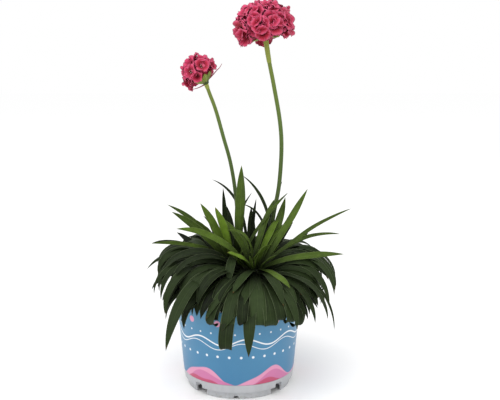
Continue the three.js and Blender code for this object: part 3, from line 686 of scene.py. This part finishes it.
def leaf_finish(name, dark, light, deep, vein, margin_colour_and_highlight, tip, roughness, gloss):
    """A leaf's surface: a waxy skin over green tissue, with its veins, pale margins that are partly painted
    highlight, painted shade towards the root and a dry tip.
    """
    material, tree, shader = finish_of(name, IOR=1.36, Specular_IOR_Level=gloss)
    tone = add(tree, "ShaderNodeAttribute", {"attribute_name": "tone"})["Fac"]
    flat = add(tree, "ShaderNodeSeparateXYZ", {}, {0: add(tree, "ShaderNodeUVMap")[0]})
    place = add(tree, "ShaderNodeTexCoord")["Object"]
    mottle = add(tree, "ShaderNodeTexNoise", {}, {"Vector": place, "Scale": 1 / (6 * MM), "Detail": 4})["Fac"]
    varied = add(tree, "ShaderNodeMath", {"operation": "MULTIPLY_ADD"}, {0: mottle, 1: 0.9, 2: tone})[0]
    light_share = add(tree, "ShaderNodeMapRange", {}, {"Value": varied, "From Min": 0.25, "From Max": 2.1})[0]
    colour = add(tree, "ShaderNodeMix", {"data_type": "RGBA"},
                 {0: light_share, 6: linear(dark), 7: linear(light)})[2]
    middle = add(tree, "ShaderNodeMath", {"operation": "SUBTRACT"}, {0: flat["X"], 1: 0.5})[0]
    aside = add(tree, "ShaderNodeMath", {"operation": "ABSOLUTE"}, {0: middle})[0]
    rib = add(tree, "ShaderNodeMapRange", {"interpolation_type": "SMOOTHSTEP"},
              {"Value": aside, "From Min": 0.05, "From Max": 0.0})[0]
    off_vein = add(tree, "ShaderNodeMath", {"operation": "PINGPONG"}, {0: aside, 1: 0.09})[0]
    veins = add(tree, "ShaderNodeMapRange", {"interpolation_type": "SMOOTHSTEP"},
                {"Value": off_vein, "From Min": 0.035, "From Max": 0.0, "To Max": 0.45})[0]
    lines = add(tree, "ShaderNodeMath", {"operation": "MAXIMUM"}, {0: rib, 1: veins})[0]
    line_share = add(tree, "ShaderNodeMath", {"operation": "MULTIPLY"}, {0: lines, 1: 0.4})[0]
    colour = add(tree, "ShaderNodeMix", {"data_type": "RGBA"}, {0: line_share, 6: colour, 7: linear(vein)})[2]
    # The pale margin is partly the leaf's own colour and partly a painted highlight along its edges.
    edge = add(tree, "ShaderNodeMapRange", {"interpolation_type": "SMOOTHSTEP"},
               {"Value": aside, "From Min": 0.44, "From Max": 0.49, "To Max": 0.8})[0]
    colour = add(tree, "ShaderNodeMix", {"data_type": "RGBA"}, {0: edge, 6: colour, 7: linear(margin_colour_and_highlight)})[2]
    old = add(tree, "ShaderNodeMath", {"operation": "MULTIPLY_ADD"}, {0: tone, 1: 0.04, 2: flat["Y"]})[0]
    dry = add(tree, "ShaderNodeMapRange", {"interpolation_type": "SMOOTHSTEP"},
              {"Value": old, "From Min": 0.985, "From Max": 1.03, "To Max": 0.8})[0]
    colour = add(tree, "ShaderNodeMix", {"data_type": "RGBA"}, {0: dry, 6: colour, 7: linear(tip)})[2]
    # Painted shade: the leaf is darkened towards its root, to the deep colour, where the leaves crowd
    # together.
    painted_root_shade = add(tree, "ShaderNodeMapRange", {"interpolation_type": "SMOOTHSTEP"},
                    {"Value": flat["Y"], "From Min": 0.55, "From Max": 0.05, "To Max": 0.92})[0]
    colour = add(tree, "ShaderNodeMix", {"data_type": "RGBA"}, {0: painted_root_shade, 6: colour, 7: linear(deep)})[2]
    strands = add(tree, "ShaderNodeMapping", {},
                  {"Vector": add(tree, "ShaderNodeUVMap")[0], "Scale": (40, 6, 1)})[0]
    skin = add(tree, "ShaderNodeTexNoise", {}, {"Vector": strands, "Scale": 1, "Detail": 3})["Fac"]
    relief = add(tree, "ShaderNodeMath", {"operation": "MULTIPLY_ADD"}, {0: skin, 1: 0.5, 2: lines})[0]
    bump = add(tree, "ShaderNodeBump", {}, {"Height": relief, "Strength": 0.5, "Distance": 0.25 * MM})[0]
    matt = add(tree, "ShaderNodeMapRange", {},
               {"Value": mottle, "To Min": roughness - 0.1, "To Max": roughness + 0.12})[0]
    tree.links.new(colour, shader.inputs["Base Color"])
    tree.links.new(matt, shader.inputs["Roughness"])
    tree.links.new(bump, shader.inputs["Normal"])
    return material


def root_height(shape, lowest, climb):
    """Height of a single leaf's root: the steeper it rises, the higher it starts."""
    return lowest + climb * min(shape["rise"] / STEEPEST, 1)


def to_rim(shoot, heading):
    """Distance from a shoot to the pot's rim, seen from above along a heading."""
    x, y = shoot["x"], shoot["y"]
    ahead = x * math.cos(math.radians(heading)) + y * math.sin(math.radians(heading))
    return math.sqrt(ahead ** 2 + LIP_RADIUS ** 2 - x ** 2 - y ** 2) - ahead


def rosette_leaf(shoot, layer, heading, draw):
    """One leaf of a rosette's layer. Its draws have a fixed order, and it rolls to face up and outwards."""
    facing = max(0, math.cos(math.radians(heading - FRONT_HEADING)))
    fold = TUCKED if draw(0, 1) < layer["tucked"] * facing ** 4 else HANGING
    reach = 0.5 + 0.5 * to_rim(shoot, heading) / MEAN_TO_RIM
    shape = {"hangs": True, "heading": heading + draw(-5, 5)}
    shape["rise"] = layer["rise"] + shoot["lift"] + draw(-6, 6) - FRONT_DROP * facing
    shape["bend"] = layer["bend"] + draw(-16, 16) - fold["less_bend"] - FRONT_BEND * FRONT_DROP * facing
    shape["length"] = (layer["length"] + draw(-9, 9)) * shoot["size"] * reach * fold["length"]
    shape["length"] *= 1 - FRONT_SHORTER * facing
    gain = TUCKED_GAIN * facing if fold is TUCKED else 0
    shape["width"] = shoot["width"] * (1 + gain + draw(-0.15, 0.15))
    shape["sweep"] = draw(-16, 16)
    shape["roll"] = draw(-15, 15)
    shape["curl"] = fold["curl"]
    shape["tuck"] = fold["turn"]
    shape["face"] = SIDE_FACE * math.cos(math.radians(heading)) + draw(-12, 12)
    return rooted((shoot["x"], shoot["y"]), layer["out"], layer["height"], shape)


# Old leaf colours: dark and light tones, a near-black painted shade for the root, veins, pale margins that
# are partly painted highlight, and a dry tip.
old_leaf = leaf_finish("old evergreen leaf", "#090d06", "#354425", "#020301", "#3c4a2a", "#6c7a58", "#5c4628",
                       0.5, 0.14)
cushion_bm = blank()
draw = draws(CUSHION_SEED)
filler = draws(FILLER_SEED)
for shoot in SHOOTS.values():
    for layer in LAYERS:
        heading = shoot["first"] + layer["inset"]
        parted = layer.get("parted", (0, 0))
        while heading <= shoot["last"] - layer["inset"]:
            leaf = rosette_leaf(shoot, layer, heading, draw)
            # Painted light: leaves that head to the right, towards the light, get paler tones.
            paler = RIGHT_PAINTED_LIGHT * max(0, math.cos(math.radians(heading - RIGHT_HEADING)))
            tones = [tone + paler for tone in layer["tones"]]
            # Painted shade: the filler leaves between the main ones get darker tones, so that they read as
            # shaded gaps.
            darker = [tone - FILLER_PAINTED_SHADE for tone in tones]
            if not parted[0] < heading < parted[1]:
                add_leaf(cushion_bm, leaf, tones=tones)
            for step in range(FILLERS):
                turned = heading + layer["step"] * (step + 1) / (FILLERS + 1)
                between = rosette_leaf(shoot, layer, turned, filler)
                between["length"] *= FILLER_LENGTH
                if not parted[0] < turned < parted[1]:
                    add_leaf(cushion_bm, between, 4, 22, tones=darker)
            heading += layer["step"]
for name, row in FALLEN.items():
    for shape in row:
        height = CROWN_HEIGHT + 4 if "at" in shape else root_height(shape, FALLEN_LOWEST, FALLEN_CLIMB)
        centre = (SHOOTS[name]["x"], SHOOTS[name]["y"])
        leaf = rooted(centre, 8, height, {"hangs": True, **shape})
        add_leaf(cushion_bm, leaf, 6, 32, tones=FALLEN_TONES[name])
cushion = shown("old_leaves", cushion_bm, old_leaf, sharp=0, merge=MERGE)
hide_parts("leaf_cushion")
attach(cushion, "root")

# Young leaves
# This season's leaves, in a tuft in the middle: the same straps, shorter, brighter and more upright, with the
# smallest still folded together in the hearts of the shoots.

YOUNG = {
    "front": [
        {"heading": -55, "rise": 10, "bend": 42, "curl": 1.2, "length": 53, "width": 9, "at": (4, -4),
         "up": 10, "tone": 0.8},
        {"heading": 206, "rise": 54, "bend": 50, "length": 98, "width": 7.5, "face": -55, "tone": 0.7},
        {"heading": 205, "rise": 72, "bend": 56, "curl": 0.45, "length": 34, "width": 9, "at": (-2, -8),
         "up": 2, "face": -20, "tone": 1.7},
        {"heading": 50, "rise": 66, "bend": 36, "length": 61, "width": 8.5, "roll": 10, "tone": 1.1},
        {"heading": 40, "rise": 62, "bend": 30, "length": 54, "width": 8, "tone": 0.35},
        {"heading": 41, "rise": 50, "bend": -13, "length": 83, "width": 8.5, "sweep": 19, "face": 20,
         "tone": 0.35},
        {"heading": 27, "rise": 51, "bend": -6, "length": 98, "width": 8, "face": 30, "tone": 0.6},
        {"heading": 3, "rise": 45, "bend": 25, "length": 114, "width": 5, "face": 35, "tone": 0.35},
        {"heading": 13, "rise": 46, "bend": 58, "length": 98, "width": 5.5, "face": 30, "tone": 0.3},
        {"heading": -28, "rise": 51, "bend": 46, "curl": 0.35, "length": 97, "width": 8, "face": 40,
         "tone": 0.45},
        {"heading": 135, "rise": 74, "bend": 30, "length": 50, "width": 6, "tone": 0.3},
        {"heading": -60, "rise": 72, "bend": 60, "length": 44, "width": 6, "tone": 0.3},
        {"heading": 185, "rise": 94, "bend": 112, "curl": 1.8, "length": 54, "width": 5.5, "at": (-2, -3),
         "face": -20, "tone": 0.5},
        {"heading": 54, "rise": 66, "bend": 20, "length": 76, "width": 7.5, "at": (-3, 2), "tone": 0.3},
        {"heading": 178, "rise": 74, "bend": 30, "length": 56, "width": 8, "face": -40, "tone": 0.4},
    ],
    "left": [
        {"heading": 237, "rise": 74, "bend": 23, "length": 71, "width": 10, "roll": 10, "tone": 1.6},
        {"heading": 191, "rise": 70, "bend": 14, "length": 71, "width": 9.5, "face": -60, "tone": 0.8},
        {"heading": 170, "rise": 58, "bend": 36, "length": 92, "width": 5.5, "face": -50, "tone": 0.2},
        {"heading": 203, "rise": 55, "bend": 25, "length": 89, "width": 8, "face": -70, "tone": 0.3},
        {"heading": 200, "rise": 66, "bend": 66, "curl": 0.4, "length": 91, "width": 4.5, "face": -50,
         "tone": 0.4},
        {"heading": -65, "rise": 82, "bend": -4, "length": 102, "width": 11, "at": (2.5, -3), "tone": 0.45},
        {"heading": 12, "rise": 64, "bend": 23, "length": 90, "width": 7.5, "face": 10, "tone": 0.3},
        {"heading": 150, "rise": 70, "bend": 30, "length": 66, "width": 7, "tone": 0.25},
        {"heading": 178, "rise": 60, "bend": 20, "length": 62, "width": 8, "face": -45, "tone": 0.3},
    ],
}
BUDS = 9
YOUNG_LOWEST = 112
YOUNG_CLIMB = 14

# Young leaf colours: dark and light tones, a near-black painted shade for the root, veins, pale margins that
# are partly painted highlight, and a dry tip.
young_leaf = leaf_finish("young leaf", "#141f0a", "#658128", "#080d05", "#62763a", "#7f9156", "#6f6c34",
                         0.42, 0.2)
young_bm = blank()
for x, y in HEARTS.values():
    ball = bmesh.ops.create_icosphere(young_bm, subdivisions=2, radius=0.7)["verts"]
    bmesh.ops.scale(young_bm, vec=(HEART_RADIUS, HEART_RADIUS, HEART_RISE), verts=ball)
    bmesh.ops.translate(young_bm, vec=(x, y, HEART_HEIGHT), verts=ball)
    for step in range(BUDS):
        bud = {"heading": step * LEAF_TURN + x, "rise": 86 - 5 * step, "bend": look(10, 50),
               "width": look(3.2, 4.6), "length": 15 + 2.6 * step, "roll": look(-20, 20)}
        add_leaf(young_bm, rooted((x, y), 0.6 * step, HEART_HEIGHT + 4, bud), 4, 14, channel=0.9)
for name, row in YOUNG.items():
    for shape in row:
        height = root_height(shape, YOUNG_LOWEST, YOUNG_CLIMB)
        add_leaf(young_bm, rooted(HEARTS[name], 4, height, shape), 7, 40)
young = shown("young_tuft", young_bm, young_leaf, sharp=0, merge=MERGE)
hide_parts("young_leaves")
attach(young, "root")

# Flower stems
# Two slender round stems, leafless and smooth. Below each head a sheath wraps the stem, and a ring of broad
# green bracts holds the florets.

TALL = {
    "radius": 2.1, "sheath_radius": 2.55, "sheath_from": 0.86,
    "path": [(30, 20, 100), (33, 20, 140), (36.5, 20, 171), (42, 20, 202), (44.3, 20, 240), (42.4, 20, 269),
             (36, 20, 305), (31, 20, 330), (27.8, 20, 350)],
    "bracts": {"count": 8, "rise": 14, "bend": 40, "length": 12.5, "width": 6.5},
    "head": {"place": (26.3, 20, 362), "lean": -10, "wide": 29, "tall": 24},
    "florets": {"count": 42, "lowest": 110, "size": 9.8, "seed": 41, "closed": 0.2, "pointed": 0},
    "parted": (0, 0, 0),
    "awns": [],
}
SHORT = {
    "radius": 1.85, "sheath_radius": 2.2, "sheath_from": 0.9,
    "path": [(4, 14, 100), (2, 14, 130), (-2.5, 14, 190), (-7.6, 13, 225), (-15, 12, 253), (-22.4, 11, 280),
             (-28.9, 10, 298), (-32.4, 9, 308)],
    "bracts": {"count": 9, "rise": 36, "bend": -14, "length": 11.5, "width": 5.4},
    "head": {"place": (-38, 9, 317.5), "lean": -32, "wide": 16.5, "tall": 17},
    "florets": {"count": 20, "lowest": 104, "size": 8.2, "seed": 67, "closed": 0.4, "pointed": 0.16},
    "parted": (0.62, -0.5, -0.6),
    "awns": [[(-29.5, 9, 311), (-25, 7, 315.5), (-21, 7, 320), (-18, 7, 323), (-16, 7, 326.5)],
             [(-33, 9, 306), (-38, 6, 303.5), (-42, 6, 302), (-47, 6, 301)]],
}
STEM_SIDES = 16
HEAD_FLAT = 9
RECEPTACLE_RADIUS = 4.5
RECEPTACLE_HEIGHT = 4


def curve_through(path, share):
    """A smooth curve through the points of a path, at a share of its course."""
    spans = len(path) - 1
    span = min(int(share * spans), spans - 1)
    t = share * spans - span
    a, b, c, d = [Vector(path[min(max(span + step, 0), spans)]) for step in (-1, 0, 1, 2)]
    return (b * 2 + (c - a) * t + (a * 2 - b * 5 + c * 4 - d) * t ** 2 + (b * 3 - a - c * 3 + d) * t ** 3) / 2


def add_stalk(bm, path, radius_at, first=0.0, last=1.0, rows=60, sides=STEM_SIDES, tone=0.5):
    """A round stalk along a path, closed at both ends. radius_at(share) is its radius on the way."""
    def place_at(u, v):
        step = min(max(v * rows - 1, 0), rows - 2) / (rows - 2)
        share = first + (last - first) * step
        middle = curve_through(path, share)
        before = curve_through(path, max(share - 0.01, 0))
        ahead = (curve_through(path, min(share + 0.01, 1)) - before).normalized()
        side = ahead.cross(Vector((0, 1, 0))).normalized()
        radius = 0 if v < 1e-6 or v > 1 - 1e-6 else radius_at(step)
        turn = 2 * math.pi * u
        return middle + (side * math.cos(turn) + ahead.cross(side) * math.sin(turn)) * radius, (u, share)
    sheet(bm, sides, rows, place_at, tone)


# Stem skin: smooth and waxy, yellow-green and streaked along its length, paler on the sheath.
stem_skin, tree, shader = finish_of("flower stem skin", Roughness=0.48, IOR=1.36, Specular_IOR_Level=0.35)
tone = add(tree, "ShaderNodeAttribute", {"attribute_name": "tone"})["Fac"]
streak_place = add(tree, "ShaderNodeMapping", {},
                   {"Vector": add(tree, "ShaderNodeUVMap")[0], "Scale": (14, 5, 1)})[0]
streaks = add(tree, "ShaderNodeTexNoise", {}, {"Vector": streak_place, "Scale": 1, "Detail": 3})["Fac"]
course = add(tree, "ShaderNodeSeparateXYZ", {}, {0: add(tree, "ShaderNodeUVMap")[0]})["Y"]
lower_half = add(tree, "ShaderNodeMapRange", {}, {"Value": course, "From Min": 0.2, "From Max": 0.6})[0]
upper_half = add(tree, "ShaderNodeMapRange", {}, {"Value": course, "From Min": 0.6, "From Max": 0.95})[0]
stem_colour = add(tree, "ShaderNodeMix", {"data_type": "RGBA"},
                  {0: lower_half, 6: linear("#2b3b1a"), 7: linear("#4a6029")})[2]
stem_colour = add(tree, "ShaderNodeMix", {"data_type": "RGBA"},
                  {0: upper_half, 6: stem_colour, 7: linear("#748334")})[2]
streak_share = add(tree, "ShaderNodeMapRange", {}, {"Value": streaks, "From Min": 0.4, "From Max": 0.8,
                                                    "To Max": 0.4})[0]
streaked = add(tree, "ShaderNodeMix", {"data_type": "RGBA"},
               {0: streak_share, 6: stem_colour, 7: linear("#7c8a50")})[2]
papery = add(tree, "ShaderNodeMapRange", {},
             {"Value": tone, "From Min": 0.5, "From Max": 0.9, "To Max": 0.85})[0]
pale = add(tree, "ShaderNodeMix", {"data_type": "RGBA"}, {0: papery, 6: streaked, 7: linear("#929c47")})[2]
bump = add(tree, "ShaderNodeBump", {}, {"Height": streaks, "Strength": 0.4, "Distance": 0.15 * MM})[0]
tree.links.new(pale, shader.inputs["Base Color"])
tree.links.new(bump, shader.inputs["Normal"])

for name, flower in (("tall", TALL), ("short", SHORT)):
    stem_bm = blank()
    head = flower["head"]
    pose = Matrix.Translation(head["place"]) @ Matrix.Rotation(math.radians(head["lean"]), 4, "Y")
    thin, thick = flower["radius"], flower["sheath_radius"]
    add_stalk(stem_bm, flower["path"], lambda share: thin * (1.08 - 0.12 * share), 0, 0.98)
    add_stalk(stem_bm, flower["path"],
              lambda share: thin * 1.05 + (thick - thin) * math.sin(1.6 * share) ** 0.5,
              flower["sheath_from"], 1, 16, tone=0.85)
    top = -HEAD_FLAT - 0.3
    cup = bmesh.ops.create_cone(stem_bm, cap_ends=True, segments=STEM_SIDES, radius1=thick,
                                radius2=RECEPTACLE_RADIUS, depth=RECEPTACLE_HEIGHT)["verts"]
    seat = pose @ Matrix.Translation((0, 0, top - RECEPTACLE_HEIGHT / 2))
    bmesh.ops.transform(stem_bm, matrix=seat, verts=cup)
    bracts = flower["bracts"]
    for step in range(bracts["count"]):
        bract = rooted((0, 0), 2, top - 1.6, {**bracts, "heading": 360 / bracts["count"] * step + 10})
        add_leaf(stem_bm, bract, 5, 14, channel=0.8, pose=pose, tones=(0.6, 0.8))
    stem = shown(f"stem_{name}", stem_bm, stem_skin, merge=MERGE)
    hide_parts(f"flower_stem_{name}")
    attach(stem, "root")

# Flower heads
# Each head is a ball of florets on short stalks. A floret is a cup of five overlapping petals, broad, ruffled
# and notched, crimson and pink along the margins, out of a small papery calyx. Its throat is painted deeper
# red, partly its own colour and partly painted shade, and the florets higher on the head are painted pinker
# as painted light.

PETALS = 5
GOLDEN_ANGLE = 137.508
CORE_SHARE = 0.56
ROOT_DEPTH = 0.36
PETAL_THICKNESS = 0.3
THROAT_DEPTH = 0.72
INNER_REACH = 3.5
INNER_SIZE = 0.95
INNER_TURN = 2.7
FRONT_LIFT = 0.3
LEAN = 16
PARTED_TO = 0.48
ANTHERED = 0.3


def petal_width(share, pointed):
    """Half the width of a petal at a share of its length, as a share of the floret's size."""
    if share < 0.72:
        return 0.12 + 0.5 * math.sin(math.pi / 2 * share / 0.72) ** 1.3
    return 0.62 * math.sqrt(1 - (0.7 + pointed) * ((share - 0.72) / 0.28) ** 2)


def add_petal(bm, pose, reach, size, turn, draw, tone, closed_by, pointed, columns=6, rows=10):
    """One petal of a funnel-shaped floret. closed_by is 0 on an open floret and 1 on a closed one."""
    out = Vector((math.cos(turn), math.sin(turn), 0))
    side = Vector((-math.sin(turn), math.cos(turn), 0))
    phase, ruffle, flare = draw(0, 6.28), draw(0.05, 0.11), draw(-0.2, 0.16)

    def place_at(u, v):
        share = max(0.0, (v * rows - 1) / (rows - 1))
        lower = u > 0.5
        across = 3 - 4 * u if lower else 4 * u - 1
        wide = petal_width(share, pointed) if v > 1e-6 else 0.0
        away = 0.07 + (0.95 - 0.45 * closed_by) * share ** 1.4
        notch = (0.07 - pointed) * math.exp(-(across / 0.25) ** 2)
        away -= 0.1 * across ** 2 * share ** 3 + notch * share ** 6
        rise = -THROAT_DEPTH * (1 - share) ** 1.5 + (flare + 0.3 * closed_by) * share ** 2
        rise -= 0.14 * max(0, (share - 0.72) / 0.28) ** 2
        rise += 0.12 * across ** 2 * share + 0.1 * across * share
        rise += ruffle * math.sin(5 * across + phase) * share ** 2
        point = out * (away * size) + side * (across * wide * size * (1 - 0.35 * closed_by))
        point.z = reach + rise * size
        if lower:
            point.z -= PETAL_THICKNESS * (1 - across ** 2) * (1 - share ** 4)
        return pose @ point, ((across + 1) / 2, share)
    sheet(bm, 2 * columns, rows, place_at, tone)


def add_floret(parts, aim, reach, size, spin, draw, tone, closed_by, pointed):
    """A floret, its calyx rooted in the head's core, and in some the anthers in its throat."""
    petal_bm, green_bm, anther_bm = parts
    for petal in range(PETALS):
        turn = spin + petal * 2 * math.pi / PETALS
        add_petal(petal_bm, aim, reach, size, turn, draw, tone, closed_by, pointed)
    deep, mouth = ROOT_DEPTH * reach, reach - 0.66 * size
    calyx = bmesh.ops.create_cone(green_bm, cap_ends=True, segments=10, radius1=0.6, radius2=0.13 * size,
                                  depth=mouth - deep)["verts"]
    bmesh.ops.transform(green_bm, matrix=aim @ Matrix.Translation((0, 0, (mouth + deep) / 2)), verts=calyx)
    if draw(0, 1) < ANTHERED:
        for petal in range(PETALS):
            turn = spin + (petal + 0.5) * 2 * math.pi / PETALS
            ring = 0.16 * size
            place = (ring * math.cos(turn), ring * math.sin(turn), reach - draw(0.3, 0.42) * size)
            anther = bmesh.ops.create_icosphere(anther_bm, subdivisions=1, radius=0.5)["verts"]
            bmesh.ops.scale(anther_bm, vec=(1, 0.6, 0.6), verts=anther)
            bmesh.ops.transform(anther_bm, matrix=aim @ Matrix.Translation(place), verts=anther)


# Petal tissue: thin and velvety, crimson and pink at its margins, finely veined. The deeper red in the throat
# is partly its own colour and partly painted shade.
petal_tissue, tree, shader = finish_of("thrift petal", Roughness=0.6, IOR=1.33, Specular_IOR_Level=0.35,
                                       Sheen_Weight=0.1)
tone = add(tree, "ShaderNodeAttribute", {"attribute_name": "tone"})["Fac"]
flat = add(tree, "ShaderNodeSeparateXYZ", {}, {0: add(tree, "ShaderNodeUVMap")[0]})
body = add(tree, "ShaderNodeMix", {"data_type": "RGBA"},
           {0: tone, 6: linear("#a01022"), 7: linear("#d03a68")})[2]
# Partly painted shade: the petal darkens towards the throat, deep in the floret's cup.
throat = add(tree, "ShaderNodeMapRange", {"interpolation_type": "SMOOTHSTEP"},
             {"Value": flat["Y"], "From Min": 0.88, "From Max": 0.2, "To Max": 0.97})[0]
colour = add(tree, "ShaderNodeMix", {"data_type": "RGBA"}, {0: throat, 6: body, 7: linear("#720a16")})[2]
middle = add(tree, "ShaderNodeMath", {"operation": "SUBTRACT"}, {0: flat["X"], 1: 0.5})[0]
aside = add(tree, "ShaderNodeMath", {"operation": "ABSOLUTE"}, {0: middle})[0]
side_rim = add(tree, "ShaderNodeMapRange", {"interpolation_type": "SMOOTHSTEP"},
               {"Value": aside, "From Min": 0.2, "From Max": 0.5})[0]
end_rim = add(tree, "ShaderNodeMapRange", {"interpolation_type": "SMOOTHSTEP"},
              {"Value": flat["Y"], "From Min": 0.66, "From Max": 1})[0]
rim = add(tree, "ShaderNodeMath", {"operation": "MAXIMUM"}, {0: side_rim, 1: end_rim})[0]
outer = add(tree, "ShaderNodeMath", {"operation": "MULTIPLY"}, {0: rim, 1: flat["Y"]})[0]
rim_share = add(tree, "ShaderNodeMath", {"operation": "MULTIPLY"}, {0: outer, 1: 0.68})[0]
colour = add(tree, "ShaderNodeMix", {"data_type": "RGBA"}, {0: rim_share, 6: colour, 7: linear("#e2688e")})[2]
vein_place = add(tree, "ShaderNodeMapping", {},
                 {"Vector": add(tree, "ShaderNodeUVMap")[0], "Scale": (22, 2.5, 1)})[0]
veins = add(tree, "ShaderNodeTexNoise", {}, {"Vector": vein_place, "Scale": 1, "Detail": 2})["Fac"]
vein_share = add(tree, "ShaderNodeMapRange", {}, {"Value": veins, "From Min": 0.5, "From Max": 0.8,
                                                  "To Max": 0.3})[0]
colour = add(tree, "ShaderNodeMix", {"data_type": "RGBA"},
             {0: vein_share, 6: colour, 7: linear("#9a1c34")})[2]
bump = add(tree, "ShaderNodeBump", {}, {"Height": veins, "Strength": 0.35, "Distance": 0.2 * MM})[0]
tree.links.new(colour, shader.inputs["Base Color"])
tree.links.new(bump, shader.inputs["Normal"])

# Calyx tissue: papery, crimson brown, ribbed.
calyx_tissue, tree, shader = finish_of("papery calyx", Roughness=0.7, IOR=1.35, Specular_IOR_Level=0.3)
place = add(tree, "ShaderNodeTexCoord")["Object"]
ribs = add(tree, "ShaderNodeTexNoise", {}, {"Vector": place, "Scale": 1 / (1.2 * MM), "Detail": 3})["Fac"]
calyx_colour = add(tree, "ShaderNodeMix", {"data_type": "RGBA"},
                   {0: ribs, 6: linear("#76142a"), 7: linear("#96283c")})[2]
tree.links.new(calyx_colour, shader.inputs["Base Color"])

# Anthers: pale grey, dusted with pollen, on the open florets.
anther_skin, tree, shader = finish_of("pollen sac", Roughness=0.8, IOR=1.35)
place = add(tree, "ShaderNodeTexCoord")["Object"]
dusting = add(tree, "ShaderNodeTexNoise", {}, {"Vector": place, "Scale": 1 / (0.4 * MM), "Detail": 2})["Fac"]
anther_colour = add(tree, "ShaderNodeMix", {"data_type": "RGBA"},
                    {0: dusting, 6: linear("#8c8a78"), 7: linear("#d9d2c4")})[2]
tree.links.new(anther_colour, shader.inputs["Base Color"])

for name, flower in (("tall", TALL), ("short", SHORT)):
    head, florets = flower["head"], flower["florets"]
    pose = Matrix.Translation(head["place"]) @ Matrix.Rotation(math.radians(head["lean"]), 4, "Y")
    parts = petal_bm, green_bm, anther_bm = blank(), blank(), blank()
    core = bmesh.ops.create_icosphere(green_bm, subdivisions=3, radius=CORE_SHARE)["verts"]
    stretch = Matrix.Diagonal((head["wide"], head["wide"], head["tall"], 1))
    bmesh.ops.transform(green_bm, matrix=pose @ stretch, verts=core)
    for path in flower["awns"]:
        add_stalk(green_bm, path, lambda share: 0.6 - 0.4 * share, rows=12, sides=6)
    draw = draws(florets["seed"])
    detail = draws(florets["seed"] + 1)
    for step in range(florets["count"]):
        for inner, rank, shift in ((0, step + 0.5, 0), (1, step + 1, INNER_TURN)):
            chosen = detail if inner else draw
            height = 1 - rank / florets["count"] * (1 - math.cos(math.radians(florets["lowest"])))
            around = (rank - 0.5) * math.radians(GOLDEN_ANGLE) + shift + chosen(-0.12, 0.12)
            if height < 0 and math.sin(around) < -0.4:
                height *= FRONT_LIFT
            across = math.sqrt(max(0, 1 - height * height))
            outward = Vector((across * math.cos(around), across * math.sin(around), height))
            reach = 1 / math.hypot(across / head["wide"], height / head["tall"]) + chosen(-1.5, 1)
            reach -= INNER_REACH * inner
            spin = chosen(0, 2)
            size = florets["size"] * chosen(0.9, 1.1) * (INNER_SIZE if inner else 1)
            axis = (detail(-1, 1), detail(-1, 1), detail(-1, 1))
            tilt = Quaternion(axis, math.radians(detail(-LEAN, LEAN)))
            aim = pose @ (tilt @ outward.to_track_quat("Z", "Y")).to_matrix().to_4x4()
            # Painted light: florets higher on the head get a pinker tone, as if lit from above; the rest of
            # the tone is random.
            tone = 0.35 + 0.45 * height + detail(-0.25, 0.3)
            closed_by = florets["closed"] * detail(0, 2) ** 2 / 2
            if (pose.to_3x3() @ outward).dot(Vector(flower["parted"])) > PARTED_TO:
                continue
            add_floret(parts, aim, reach, size, spin, detail, tone, closed_by, florets["pointed"])
    petals = shown(f"petals_{name}", petal_bm, petal_tissue, sharp=0, merge=MERGE)
    calyces = shown(f"calyces_{name}", green_bm, calyx_tissue)
    anthers = shown(f"anthers_{name}", anther_bm, anther_skin)
    for piece in (petals, calyces, anthers):
        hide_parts(f"flower_head_{name}")
        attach(piece, "root")

# Studio
# A pale table top that runs out into an even white room, one broad soft light overhead and to the front.

floor_bm = blank()
bmesh.ops.create_grid(floor_bm, x_segments=1, y_segments=1, size=6000)
paper, tree, shader = finish_of("white backdrop paper", Roughness=0.9, Specular_IOR_Level=0.0)
place = add(tree, "ShaderNodeTexCoord")["Object"]
tooth = add(tree, "ShaderNodeTexNoise", {}, {"Vector": place, "Scale": 1 / (30 * MM), "Detail": 2})["Fac"]
paper_colour = add(tree, "ShaderNodeMix", {"data_type": "RGBA"},
                   {0: tooth, 6: linear("#fdfdfd"), 7: linear("#ffffff")})[2]
tree.links.new(paper_colour, shader.inputs["Base Color"])
floor = shown("floor", floor_bm, paper)

world = bpy.data.worlds.new("white room")
world.use_nodes = True
world.node_tree.nodes["Background"].inputs["Color"].default_value = (1, 1, 1, 1)
world.node_tree.nodes["Background"].inputs["Strength"].default_value = 1.0
bpy.context.scene.world = world
bpy.context.scene.view_settings.view_transform = "Standard"

soft_box = bpy.data.lights.new("soft box", "AREA")
soft_box.shape = "RECTANGLE"
soft_box.size = 1.4
soft_box.size_y = 1.0
soft_box.energy = 10
soft_box_place = bpy.data.objects.new("soft box", soft_box)
soft_box_place.location = (-0.3, -0.7, 1.4)
towards_pot = Vector((0, 0, 0.15)) - soft_box_place.location
soft_box_place.rotation_euler = towards_pot.to_track_quat("-Z", "Y").to_euler()
bpy.context.scene.collection.objects.link(soft_box_place)

# Camera
# It stands 80 cm in front of the pot's axis, about as high as the short flower head, and looks slightly down.

FOCAL_PIXELS = 804
FRAME_PIXELS = 500
CAMERA_PITCH = 10.41
CAMERA_YAW = 0.84
lens = bpy.data.cameras.new("camera")
lens.sensor_width = 36
lens.lens = FOCAL_PIXELS * lens.sensor_width / FRAME_PIXELS
camera = bpy.data.objects.new("camera", lens)
camera.location = (0, -0.8, 0.3375)
camera.rotation_euler = (math.radians(90 - CAMERA_PITCH), 0, math.radians(-CAMERA_YAW))
bpy.context.scene.collection.objects.link(camera)
bpy.context.scene.camera = camera

bpy.context.view_layer.update()
